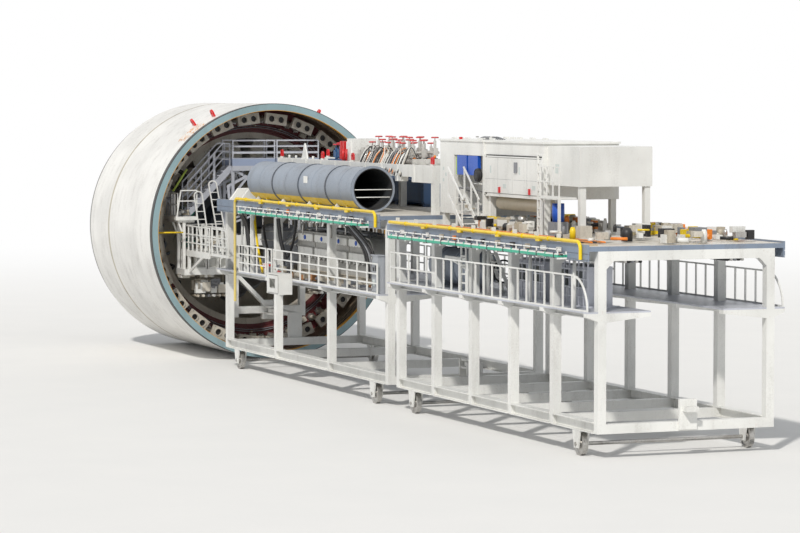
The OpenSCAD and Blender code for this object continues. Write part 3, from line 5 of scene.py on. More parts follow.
import bmesh
import bpy
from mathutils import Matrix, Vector


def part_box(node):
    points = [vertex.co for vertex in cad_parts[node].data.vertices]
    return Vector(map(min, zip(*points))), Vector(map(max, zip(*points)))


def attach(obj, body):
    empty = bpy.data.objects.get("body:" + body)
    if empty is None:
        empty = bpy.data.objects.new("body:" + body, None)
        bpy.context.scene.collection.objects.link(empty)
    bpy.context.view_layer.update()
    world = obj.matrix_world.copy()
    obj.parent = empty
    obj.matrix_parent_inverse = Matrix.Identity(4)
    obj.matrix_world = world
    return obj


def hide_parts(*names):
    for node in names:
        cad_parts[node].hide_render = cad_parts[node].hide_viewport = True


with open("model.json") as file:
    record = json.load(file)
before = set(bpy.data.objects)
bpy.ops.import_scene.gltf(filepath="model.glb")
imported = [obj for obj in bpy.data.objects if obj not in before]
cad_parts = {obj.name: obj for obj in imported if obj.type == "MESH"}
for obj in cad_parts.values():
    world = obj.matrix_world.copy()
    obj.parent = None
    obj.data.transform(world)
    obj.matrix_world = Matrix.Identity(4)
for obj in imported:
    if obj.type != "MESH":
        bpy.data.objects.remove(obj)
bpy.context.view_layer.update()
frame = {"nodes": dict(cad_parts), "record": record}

bl_info = {
    "name": "Tunnel borer dressing",
    "version": (1, 0, 0),
    "blender": (4, 5, 0),
    "location": "View3D > Sidebar > Borer",
    "description": "Finishes and small fittings for the tunnel boring machine and its gantries",
    "category": "Object",
}

# The model's scale, and the centre of the tail rim, which real sizes are counted from
SCALE = 0.5
RIM_LOW, RIM_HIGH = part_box("tail_rim")
ORIGIN = Vector((RIM_HIGH[0], 0.0, (RIM_LOW[2] + RIM_HIGH[2]) / 2))
SHIELD_R = (RIM_HIGH[2] - RIM_LOW[2]) / 2


def at(x, y, z):
    """A point of the model, from real metres: x behind the tail rim, y to the right, z above the axis."""
    return ORIGIN + Vector((x, y, z)) * SCALE


X, Y, Z = range(3)


def least(name, axis):
    """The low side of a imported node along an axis, in real metres from the tail rim's centre."""
    return round((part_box(name)[0][axis] - ORIGIN[axis]) / SCALE, 3)


def most(name, axis):
    """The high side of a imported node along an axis, in real metres from the tail rim's centre."""
    return round((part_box(name)[1][axis] - ORIGIN[axis]) / SCALE, 3)


# Settings that a user may change

class BorerColours(bpy.types.PropertyGroup):
    shell: bpy.props.FloatVectorProperty(
        name="Shell", description="Paint of the shield's outer skin", subtype="COLOR", size=3,
        default=(0.80, 0.79, 0.76), min=0, max=1)
    rim: bpy.props.FloatVectorProperty(
        name="Rim", description="Primer on the tail rim's rear face", subtype="COLOR", size=3,
        default=(0.27, 0.39, 0.42), min=0, max=1)
    white: bpy.props.FloatVectorProperty(
        name="White", description="White paint of frames, rails and cabinets", subtype="COLOR", size=3,
        default=(0.80, 0.80, 0.77), min=0, max=1)
    beige: bpy.props.FloatVectorProperty(
        name="Beige", description="Beige primer inside the shield", subtype="COLOR", size=3,
        default=(0.50, 0.45, 0.36), min=0, max=1)
    ring: bpy.props.FloatVectorProperty(
        name="Ring", description="Dark red primer of the carrier ring", subtype="COLOR", size=3,
        default=(0.13, 0.018, 0.022), min=0, max=1)
    duct: bpy.props.FloatVectorProperty(
        name="Duct", description="Blue grey steel of the air duct", subtype="COLOR", size=3,
        default=(0.27, 0.31, 0.37), min=0, max=1)
    yellow: bpy.props.FloatVectorProperty(
        name="Yellow", description="Yellow lines and stripes", subtype="COLOR", size=3,
        default=(0.85, 0.60, 0.01), min=0, max=1)
    green: bpy.props.FloatVectorProperty(
        name="Green", description="Green cable trays", subtype="COLOR", size=3,
        default=(0.04, 0.42, 0.27), min=0, max=1)
    red: bpy.props.FloatVectorProperty(
        name="Red", description="Red lifting lugs", subtype="COLOR", size=3,
        default=(0.62, 0.012, 0.015), min=0, max=1)
    tank: bpy.props.FloatVectorProperty(
        name="Tank", description="Warm grey of the tank", subtype="COLOR", size=3,
        default=(0.42, 0.41, 0.38), min=0, max=1)
    zinc: bpy.props.FloatVectorProperty(
        name="Zinc", description="Galvanised platforms and stairs", subtype="COLOR", size=3,
        default=(0.57, 0.59, 0.65), min=0, max=1)


class BorerSizes(bpy.types.PropertyGroup):
    lens: bpy.props.FloatProperty(
        name="Lens", description="Focal length of the camera in millimetres", unit="CAMERA",
        default=140.0, min=50, max=300)


def colours():
    return bpy.context.scene.borer_colours


def sizes():
    return bpy.context.scene.borer_sizes


# Shader maths

class Wire:
    """A node's output that takes part in Python expressions."""

    def __init__(self, finish, socket):
        self.finish = finish
        self.socket = socket

    def maths(self, operation, first, second):
        return self.finish.node("ShaderNodeMath", {"operation": operation}, {0: first, 1: second})

    def __add__(self, other):
        return self.maths("ADD", self, other)

    def __radd__(self, other):
        return self.maths("ADD", other, self)

    def __sub__(self, other):
        return self.maths("SUBTRACT", self, other)

    def __rsub__(self, other):
        return self.maths("SUBTRACT", other, self)

    def __mul__(self, other):
        return self.maths("MULTIPLY", self, other)

    def __gt__(self, other):
        return self.maths("GREATER_THAN", self, other)

    def __lt__(self, other):
        return self.maths("LESS_THAN", self, other)


class Finish:
    """A procedural material, built by calls that each add one node."""

    def __init__(self, name, **constants):
        self.material = bpy.data.materials.new(name)
        self.material.use_nodes = True
        self.tree = self.material.node_tree
        self.shader = self.tree.nodes["Principled BSDF"]
        for socket, value in constants.items():
            self.shader.inputs[socket.replace("_", " ").title()].default_value = value
        coordinates = self.tree.nodes.new("ShaderNodeTexCoord")
        self.place = Wire(self, coordinates.outputs["Object"])
        geometry = self.tree.nodes.new("ShaderNodeNewGeometry")
        self.normal = Wire(self, geometry.outputs["Normal"])

    def node(self, kind, settings=None, inputs=None, output=0):
        made = self.tree.nodes.new(kind)
        for key, value in (settings or {}).items():
            setattr(made, key, value)
        for key, value in (inputs or {}).items():
            if isinstance(value, Wire):
                self.tree.links.new(value.socket, made.inputs[key])
            else:
                made.inputs[key].default_value = value
        return Wire(self, made.outputs[output])

    def axis(self, vector, name):
        return self.node("ShaderNodeSeparateXYZ", None, {0: vector}, name)

    def moved(self, vector, offset):
        return self.node("ShaderNodeVectorMath", {"operation": "SUBTRACT"}, {0: vector, 1: offset})

    def stretched(self, vector, factors):
        return self.node("ShaderNodeVectorMath", {"operation": "MULTIPLY"}, {0: vector, 1: factors})

    def noise(self, scale, detail=3.0, stretch=None, roughness=0.55):
        place = self.stretched(self.place, stretch) if stretch else self.place
        return self.node("ShaderNodeTexNoise", None,
                         {"Vector": place, "Scale": scale, "Detail": detail, "Roughness": roughness})

    def ramp(self, value, low, high):
        return self.node("ShaderNodeMapRange", {"interpolation_type": "SMOOTHSTEP"},
                         {"Value": value, "From Min": low, "From Max": high})

    def band(self, value, low, high, soft=0.002):
        return self.ramp(value, low - soft, low + soft) * (1 - self.ramp(value, high - soft, high + soft))

    def mix(self, factor, first, second):
        made = self.tree.nodes.new("ShaderNodeMix")
        made.data_type = "RGBA"
        for key, value in ((0, factor), (6, first), (7, second)):
            if isinstance(value, Wire):
                self.tree.links.new(value.socket, made.inputs[key])
            else:
                made.inputs[key].default_value = tuple(value) + (1.0,) if key else value
        return Wire(self, made.outputs[2])

    def feed(self, socket, value):
        self.tree.links.new(value.socket, self.shader.inputs[socket])

    def bump(self, height, distance, strength=1.0):
        normal = self.node("ShaderNodeBump", None,
                           {"Strength": strength, "Distance": distance, "Height": height})
        self.feed("Normal", normal)

    def real(self, name):
        """One coordinate of the surface in real metres from the tail rim's centre."""
        offset = self.moved(self.place, tuple(ORIGIN))
        return self.axis(self.stretched(offset, (1 / SCALE, 1 / SCALE, 1 / SCALE)), name)

    def radius(self):
        """Distance from the shield's axis."""
        offset = self.moved(self.place, tuple(ORIGIN))
        flat = self.stretched(offset, (0, 1, 1))
        return self.node("ShaderNodeVectorMath", {"operation": "LENGTH"}, {0: flat}, "Value")

    def inside(self, y, z, radius):
        """1 nearer than a radius to an axis along x."""
        centre = at(0, y, z)
        flat = self.stretched(self.moved(self.place, (0, centre.y, centre.z)), (0, 1, 1))
        reach = self.node("ShaderNodeVectorMath", {"operation": "LENGTH"}, {0: flat}, "Value")
        return reach < radius * SCALE


GRIME = (0.13, 0.10, 0.07)
RUST = (0.35, 0.12, 0.03)
DARK_BLUE = (0.03, 0.10, 0.24)
DECK_BLUE = (0.22, 0.27, 0.35)


def shade(colour, factor):
    return tuple(min(1.0, c * factor) for c in colour)


def painted(name, colour, roughness, grime, rust, metal=0.0, extra=None):
    """Paint on steel: tone drifts, rain streaks, settled dust, rust freckles and an uneven surface."""
    finish = Finish(name, metallic=metal)
    drift = finish.ramp(finish.noise(0.9, 4.0), 0.35, 0.7)
    streaks = finish.noise(5.0, 4.0, (1.0, 1.0, 0.16))
    speck = finish.noise(38.0, 4.0)
    up = finish.axis(finish.normal, "Z")
    dust = finish.ramp(up, 0.5, 0.95) * 0.35
    dirt = finish.ramp(streaks * 0.65 + speck * 0.35, 0.47, 0.72) * grime + dust * grime
    base = finish.mix(drift, colour, shade(colour, 0.86))
    if extra:
        base = extra(finish, base)
    base = finish.mix(dirt, base, GRIME)
    freckles = finish.ramp(finish.noise(17.0, 6.0), 0.63, 0.70) * rust
    base = finish.mix(freckles, base, RUST)
    finish.feed("Base Color", base)
    finish.feed("Roughness", finish.ramp(speck, 0.2, 0.9) * 0.22 + dirt * 0.35 + (roughness - 0.1))
    finish.bump(speck * 0.6 + streaks * 0.4, 0.0015)
    return finish.material


def make_finishes():
    """Every material by its record slot, by the one node that wears it, or by a name for the fittings."""
    c = colours()

    def shell(finish, base):
        r = finish.radius()
        inside = 1 - finish.ramp(r, SHIELD_R - 0.06, SHIELD_R - 0.05)
        soot = finish.ramp(finish.noise(2.2, 5.0), 0.3, 0.75)
        lining = finish.mix(soot, (0.30, 0.23, 0.16), (0.13, 0.095, 0.065))
        stain = finish.band(finish.real("Y"), -3.75, -2.95, 0.2)
        stain = stain * finish.band(finish.real("X"), -1.35, -0.3, 0.15)
        stain = stain * (finish.real("Z") > 3.0) * finish.ramp(finish.noise(9.0, 4.0), 0.4, 0.6) * 0.5
        base = finish.mix(stain, base, (0.78, 0.42, 0.16))
        return finish.mix(inside, base, lining)

    def edges(finish, base):
        r = finish.radius()
        outer = finish.ramp(r, SHIELD_R - 0.014, SHIELD_R - 0.010)
        inner = 1 - finish.ramp(r, SHIELD_R - 0.144, SHIELD_R - 0.138)
        base = finish.mix(outer, base, (0.03, 0.03, 0.03))
        return finish.mix(inner, base, (0.62, 0.30, 0.03))

    def kick_plates(finish, base):
        low = finish.band(finish.real("Z"), 2.76, 3.06, 0.01)
        return finish.mix(low, base, (0.32, 0.38, 0.52))

    def old_hose(finish, base):
        """The front drop of the yellow line is an older, duller pipe."""
        drop = (finish.real("X") < 8.0) * (finish.real("Z") < 1.45)
        return finish.mix(drop * 0.75, base, (0.60, 0.50, 0.22))

    def stripe(finish, base):
        x = finish.real("X")
        left = finish.real("Y") < DUCT_Y
        seams = 0
        for place in (8.4, 11.4, 14.4):
            seams = seams + finish.band(x, place - 0.09, place + 0.09, 0.01)
        yellow = finish.band(finish.real("Z"), 1.60, 1.86, 0.01) * left * finish.band(x, 5.3, 17.1, 0.03)
        base = finish.mix(yellow * (1 - seams), base, tuple(c.yellow))
        base = finish.mix(seams, base, (0.10, 0.12, 0.15))
        # The duct's inner wall is painted near black: painted shade inside the bore
        inside = finish.band(x, 5.4, 17.42, 0.01) * finish.inside(DUCT_Y, DUCT_Z, DUCT_R - 0.02)
        return finish.mix(inside, base, (0.05, 0.055, 0.06))

    def station(finish, base):
        x = finish.real("X")
        post = finish.band(x, 9.98, 10.72, 0.01) * (finish.real("Z") > 3.0)
        pipes = (x > 10.75) * (finish.real("Z") > 3.0)
        base = finish.mix(post, base, tuple(c.white))
        return finish.mix(pipes, base, (0.55, 0.54, 0.51))

    def tank_foot(finish, base):
        low = 1 - finish.ramp(finish.real("Z"), -0.98, -0.95)
        pillows = (finish.real("Y") < TANK_Y - 0.052) * (finish.real("Z") > -0.5)
        base = finish.mix(low, base, tuple(c.beige))
        return finish.mix(pillows, base, (0.80, 0.79, 0.75))

    def panel_grey(finish, base):
        return finish.mix(finish.real("X") > 19.0, base, (0.33, 0.35, 0.38))

    def pipe_beige(finish, base):
        z = finish.real("Z")
        low = (z < 2.28) * (z > 1.8) * finish.band(finish.real("X"), 26.1, 30.2, 0.01)
        return finish.mix(low, base, (0.62, 0.55, 0.42))

    def deck_top(finish, base):
        """The deck's top is pale with dust and boards, its fascia stays blue grey."""
        up = finish.ramp(finish.axis(finish.normal, "Z"), 0.6, 0.9)
        boards = finish.ramp(finish.noise(2.0, 5.0, (0.2, 3.0, 1.0)), 0.35, 0.65)
        pale = finish.mix(boards, (0.60, 0.56, 0.49), (0.74, 0.71, 0.65))
        return finish.mix(up, base, pale)

    def tray(level):
        def coat(finish, base):
            z = finish.real("Z")
            above = finish.ramp(z, level + 0.080, level + 0.086)
            below = 1 - finish.ramp(z, level - 0.006, level)
            return finish.mix(above + below, base, tuple(c.white))
        return coat

    # Slot, node or name, then material, colour, roughness, grime, rust, metal and extra layer
    rows = (
        ("shield_paint", "shell_paint", c.shell, 0.4, 0.22, 0.1, 0.0, shell),
        ("rim_steel", "rim_primer", c.rim, 0.5, 0.25, 0.15, 0.0, edges),
        ("wall_paint", "wall_paint", c.beige, 0.5, 0.6, 0.35),
        ("red_paint", "lug_paint", c.red, 0.35, 0.15, 0.1),
        ("blue_paint", "machine_blue", DARK_BLUE, 0.4, 0.45, 0.2),
        ("green_paint", "tray_green", c.green, 0.45, 0.2, 0.05),
        ("grey_paint", "machine_grey", (0.24, 0.25, 0.27), 0.45, 0.4, 0.2),
        ("dark_red_paint", "ring_primer", c.ring, 0.5, 0.5, 0.3),
        ("white_paint", "frame_white", c.white, 0.4, 0.2, 0.12),
        ("galvanised", "zinc", c.zinc, 0.4, 0.2, 0.05, 0.35),
        ("head_steel", "head_steel", (0.30, 0.30, 0.29), 0.5, 0.55, 0.5),
        ("bright_steel", "bright_steel", (0.50, 0.49, 0.47), 0.32, 0.35, 0.25, 0.85),
        ("shoe_paint", "shoe_paint", (0.62, 0.58, 0.50), 0.45, 0.4, 0.2),
        ("yellow_paint", "line_yellow", c.yellow, 0.35, 0.12, 0.05),
        ("g1_yellow_line", "line_yellow_1", c.yellow, 0.35, 0.12, 0.05, 0.0, old_hose),
        ("weld_rust", "weld_rust", (0.66, 0.33, 0.14), 0.6, 0.1, 0.3),
        ("duct_paint", "duct_steel", c.duct, 0.42, 0.25, 0.1),
        ("tank_paint", "tank_grey", c.tank, 0.45, 0.4, 0.2),
        ("rubber", "hose_rubber", (0.022, 0.022, 0.024), 0.6, 0.25, 0.0),
        ("black", "black_gear", (0.015, 0.015, 0.017), 0.5, 0.1, 0.0),
        ("rust", "rusty_steel", (0.42, 0.19, 0.07), 0.7, 0.3, 0.6),
        ("brush", "seal_brush", (0.12, 0.09, 0.06), 0.8, 0.4, 0.3),
        ("lime", "lime_paint", (0.45, 0.60, 0.10), 0.4, 0.15, 0.0),
        ("orange", "orange_paint", (0.85, 0.24, 0.02), 0.4, 0.15, 0.0),
        ("blue_bright", "panel_blue", (0.01, 0.09, 0.50), 0.35, 0.08, 0.0),
        ("mark_pale", "blank_mark", (0.62, 0.68, 0.66), 0.5, 0.1, 0.0),
        ("seam", "door_seam", (0.35, 0.36, 0.37), 0.5, 0.1, 0.0),
        ("panel_dark", "dark_panel", (0.05, 0.06, 0.06), 0.4, 0.2, 0.0),
        ("wood", "boards", (0.55, 0.42, 0.26), 0.7, 0.35, 0.0),
        ("lamp", "lamp_tube", (0.80, 0.82, 0.82), 0.3, 0.05, 0.0),
        ("upper_platform", "platform_zinc", c.zinc, 0.4, 0.2, 0.05, 0.35, kick_plates),
        ("air_duct", "duct_skin", c.duct, 0.42, 0.25, 0.1, 0.0, stripe),
        ("valve_station", "station_paint", DARK_BLUE, 0.4, 0.4, 0.2, 0.0, station),
        ("fluid_tank", "tank_skin", c.tank, 0.45, 0.4, 0.2, 0.0, tank_foot),
        ("g1_cabinet", "cabinet_skin", c.white, 0.4, 0.2, 0.1, 0.0, panel_grey),
        ("switch_cabinet", "switch_skin", c.white, 0.4, 0.15, 0.08, 0.0, pipe_beige),
        ("g1_cable_tray", "tray_1", c.green, 0.45, 0.2, 0.05, 0.0, tray(TRAY_1)),
        ("g2_cable_tray", "tray_2", c.green, 0.45, 0.2, 0.05, 0.0, tray(TRAY_2)),
        # The man locks wear a lighter cream than the wall paint: their own cream with painted sunlight on
        # it
        ("man_locks", "lock_cream", (0.70, 0.68, 0.60), 0.45, 0.35, 0.2),
        ("main_drive", "drive_dark", (0.05, 0.065, 0.09), 0.45, 0.5, 0.3),
        ("g1_deck", "deck_skin", DECK_BLUE, 0.45, 0.35, 0.15, 0.0, deck_top),
        ("g2_deck", "deck_skin_2", DECK_BLUE, 0.45, 0.35, 0.15, 0.0, deck_top),
    )
    return {name: painted(label, tuple(colour), *rest) for name, label, colour, *rest in rows}


# Every finish by its name, filled by the first step
MADE = {}


class BORER_OT_finishes(bpy.types.Operator):
    """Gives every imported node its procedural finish"""
    bl_idname = "borer.finishes"
    bl_label = "Finish the packed nodes"

    def execute(self, context):
        MADE.update(make_finishes())
        slots = {row["node"]: row["material_slot"] for row in frame["record"]["subparts"]}
        for name, piece in frame["nodes"].items():
            piece.data.materials.clear()
            piece.data.materials.append(MADE.get(name) or MADE[slots[name]])
        return {"FINISHED"}


# Mesh building

class Shape:
    """Joins simple solids into one mesh, in real metres from the tail rim's centre."""

    def __init__(self, name, body, slot):
        self.name = name
        self.body = body
        self.slot = slot
        self.mesh = bmesh.new()
        self.finishes = []
        self.index = 0

    def paint(self, name):
        """The solids that follow get this finish."""
        if name not in self.finishes:
            self.finishes.append(name)
        self.index = self.finishes.index(name)

    def face(self, corners, smooth=False):
        made = self.mesh.faces.new(corners)
        made.material_index = self.index
        made.smooth = smooth
        return made

    def wall(self, first, second, smooth):
        """Faces between two loops of corners."""
        for k in range(len(first)):
            n = (k + 1) % len(first)
            self.face([first[k], first[n], second[n], second[k]], smooth)

    def circle(self, centre, side, across, radius, sides):
        """A round loop of corners in the plane of two directions."""
        angles = [2 * math.pi * k / sides for k in range(sides)]
        return [self.mesh.verts.new(at(*(centre + (side * math.cos(a) + across * math.sin(a)) * radius)))
                for a in angles]

    def prism(self, outline, low, high, place):
        """A solid between two heights over an outline; place turns (u, v, height) into a point."""
        foot, top = [[self.mesh.verts.new(at(*place(u, v, h))) for u, v in outline] for h in (low, high)]
        self.wall(foot, top, False)
        self.face(list(reversed(foot)))
        self.face(top)

    def box(self, low, high):
        self.prism(rectangle(low[0], low[1], high[0], high[1]), low[2], high[2], lambda u, v, h: (u, v, h))

    def rings(self, centres, directions, radii, sides, closed=True):
        """Round sections joined into a tube."""
        loops = []
        side = directions[0].orthogonal().normalized()
        for centre, direction, radius in zip(centres, directions, radii):
            side = (side - direction * side.dot(direction)).normalized()
            loops.append(self.circle(centre, side, direction.cross(side), radius, sides))
        for first, second in zip(loops, loops[1:]):
            self.wall(first, second, True)
        if closed:
            self.face(list(reversed(loops[0])))
            self.face(loops[-1])

    def rod(self, start, end, radius, sides=10, end_radius=None):
        start, end = Vector(start), Vector(end)
        direction = (end - start).normalized()
        last = radius if end_radius is None else end_radius
        self.rings([start, end], [direction] * 2, [radius, last], sides)

    def turned(self, centre, axis, outline, sides=20):
        """A solid turned about an axis from (along, radius) pairs."""
        centre, axis = Vector(centre), Vector(axis).normalized()
        self.rings([centre + axis * along for along, _ in outline], [axis] * len(outline),
                   [radius for _, radius in outline], sides)

    def hose(self, points, radius, sides=8, steps=6):
        """A smooth round hose through points."""
        points = [Vector(p) for p in points]
        line = []
        for i in range(len(points) - 1):
            before = points[max(i - 1, 0)]
            after = points[min(i + 2, len(points) - 1)]
            for k in range(steps):
                line.append(curve_point(before, points[i], points[i + 1], after, k / steps))
        line.append(points[-1])
        ways = []
        for i in range(len(line)):
            ways.append((line[min(i + 1, len(line) - 1)] - line[max(i - 1, 0)]).normalized())
        self.rings(line, ways, [radius] * len(line), sides)

    def hoop(self, centre, axis, radius, thickness, sides=24, start=0.0, turn=2 * math.pi):
        """A round bar bent about an axis, whole or in part."""
        centre, axis = Vector(centre), Vector(axis).normalized()
        side = axis.orthogonal().normalized()
        across = axis.cross(side)
        angles = [start + turn * k / sides for k in range(sides + 1)]
        out = [side * math.cos(a) + across * math.sin(a) for a in angles]
        self.rings([centre + way * radius for way in out], [axis.cross(way) for way in out],
                   [thickness] * len(out), 6)

    def bolt(self, place, axis, radius, height):
        self.rod(place, Vector(place) + Vector(axis).normalized() * height, radius, 6)

    def sleeve(self, centre, axis, inner, outer, length, sides=24):
        """A ring with a round hole, from its centre along its axis."""
        centre, axis = Vector(centre), Vector(axis).normalized()
        side = axis.orthogonal().normalized()
        across = axis.cross(side)
        loops = [self.circle(centre + axis * along, side, across, radius, sides)
                 for radius, along in ((outer, 0), (outer, length), (inner, length), (inner, 0))]
        for i in range(4):
            self.wall(loops[i], loops[(i + 1) % 4], i in (0, 2))

    def plate(self, angle, radius, x, length, width, thickness):
        """A flat plate standing out of the shield's skin, with a bolt at each corner."""
        out = polar(angle, 1, 0)
        around = polar(angle + 90, 1, 0)

        def place(u, v, h):
            return Vector((x + u, 0, 0)) + around * v + out * (radius + h)

        outline = rectangle(-length / 2, -width / 2, length / 2, width / 2)
        self.prism(outline, -0.02, thickness - 0.006, place)
        for u, v in outline:
            self.rod(place(u * 0.8, v * 0.8, 0), place(u * 0.8, v * 0.8, thickness), 0.018, 6)

    def turned_box(self, angle, radius, x, size):
        """A box on the ring's rear face, turned to its angle; size is along x, outwards and around."""
        out = polar(angle, 1, 0)
        around = polar(angle + 90, 1, 0)
        outline = rectangle(0, -size[2] / 2, size[0], size[2] / 2)
        self.prism(outline, -size[1] / 2, size[1] / 2,
                   lambda u, v, h: Vector((x + u, 0, 0)) + around * v + out * (radius + h))

    def put(self, bevel=0.0):
        """Ends the mesh as a piece that rides on its body."""
        data = bpy.data.meshes.new(self.name)
        bmesh.ops.recalc_face_normals(self.mesh, faces=self.mesh.faces[:])
        self.mesh.to_mesh(data)
        self.mesh.free()
        for name in self.finishes:
            data.materials.append(MADE[name])
        piece = bpy.data.objects.new(self.name, data)
        bpy.context.scene.collection.objects.link(piece)
        if bevel:
            edge = piece.modifiers.new("bevel", "BEVEL")
            edge.width = bevel
            edge.segments = 1
            edge.limit_method = "ANGLE"
        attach(piece, self.body)
        return piece


def rectangle(u0, v0, u1, v1):
    return [(u0, v0), (u1, v0), (u1, v1), (u0, v1)]


def curve_point(a, b, c, d, t):
    """A point between b and c on the smooth curve through a, b, c and d."""
    return 0.5 * (2 * b + (c - a) * t + (2 * a - 5 * b + 4 * c - d) * t * t
                  + (3 * b - a - 3 * c + d) * t ** 3)


def polar(angle, radius, x):
    """A point at an angle about the shield's axis, from the right side towards the top."""
    a = math.radians(angle)
    return Vector((x, radius * math.cos(a), radius * math.sin(a)))


REAR, LEFT, UP = (1, 0, 0), (0, -1, 0), (0, 0, 1)

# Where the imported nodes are, in real metres

HEAD_FACE = least("cutterhead", X)
BULKHEAD_X = most("bulkhead", X) + 0.05
LOCK_R = (most("man_locks", Z) - least("man_locks", Z)) / 2
LOCK_Y, LOCK_Z = most("man_locks", Y) - LOCK_R, most("man_locks", Z) - LOCK_R
LOCK_FACE = most("man_locks", X)
SHELL_R = most("tail_skin", Y)
RING_REAR = most("carrier_ring", X)
PAIRS, THRUST_R = 24, 4.74
SHOE_R, SHOE_FACE = 4.76, -1.539
RAIL = 1.1
PLATFORM_Z = most("upper_platform", Z) - RAIL
DECK_HALF = most("g1_deck", Y)
DECK_1, DECK_2 = least("notched_beams", Z), least("container", Z)
DECK_FOOT_1, DECK_FOOT_2 = least("g1_deck", Z), least("g2_deck", Z)
WALK_1, WALK_2 = most("g1_walkways", Z), most("g2_walkways", Z)
TRAY_1, TRAY_2 = DECK_FOOT_1 + 0.06, DECK_FOOT_2 + 0.06
UNDER_1, UNDER_2 = DECK_FOOT_1 - 0.043, DECK_FOOT_2 - 0.043
LINE_R = (most("g1_yellow_line", Y) - least("g1_yellow_line", Y)) / 2
LINE_Y = least("g1_yellow_line", Y) + LINE_R
LINE_1, LINE_2 = most("g1_yellow_line", Z) - LINE_R, most("g2_yellow_line", Z) - LINE_R
FLANGE_R = (most("air_duct", Y) - least("air_duct", Y)) / 2
DUCT_Y, DUCT_Z, DUCT_R = most("air_duct", Y) - FLANGE_R, most("air_duct", Z) - FLANGE_R, FLANGE_R - 0.06
DUCT_END = most("air_duct", X)
DUCT_X = DUCT_END - 12.0
BEAM_TOP = most("notched_beams", Z) - 0.06
VALVE_X, VALVE_Z = 8.3, BEAM_TOP - 0.14
TANK_X, TANK_END = least("fluid_tank", X) + 0.02, most("fluid_tank", X)
TANK_Y = least("fluid_tank", Y) + 0.089
BOX_Y, BOX_TOP = least("container", Y) + 0.04, most("container", Z) - 0.06


def crate(shape, rng, low, high, count, finishes, small=0.06, large=0.3):
    """Fills a space with small boxes, pots and stubs of pipe, as on a machine's floor."""
    for _ in range(count):
        size = [rng.uniform(small, large) for _ in range(3)]
        spot = [rng.uniform(a, max(a, b - s)) for a, b, s in zip(low, high, size)]
        shape.paint(rng.choice(finishes))
        kind = rng.random()
        if kind < 0.55:
            shape.box(spot, [a + s for a, s in zip(spot, size)])
        elif kind < 0.8:
            r = size[0] / 2
            foot = Vector((spot[0] + r, spot[1] + r, spot[2]))
            shape.turned(foot, UP, [(0, r), (size[2] * 0.7, r), (size[2], r * 0.6)], 12)
        else:
            r = size[2] / 5
            start = Vector((spot[0], spot[1] + r, spot[2] + r))
            shape.rod(start, start + Vector((size[0], size[1], 0)), r, 8)


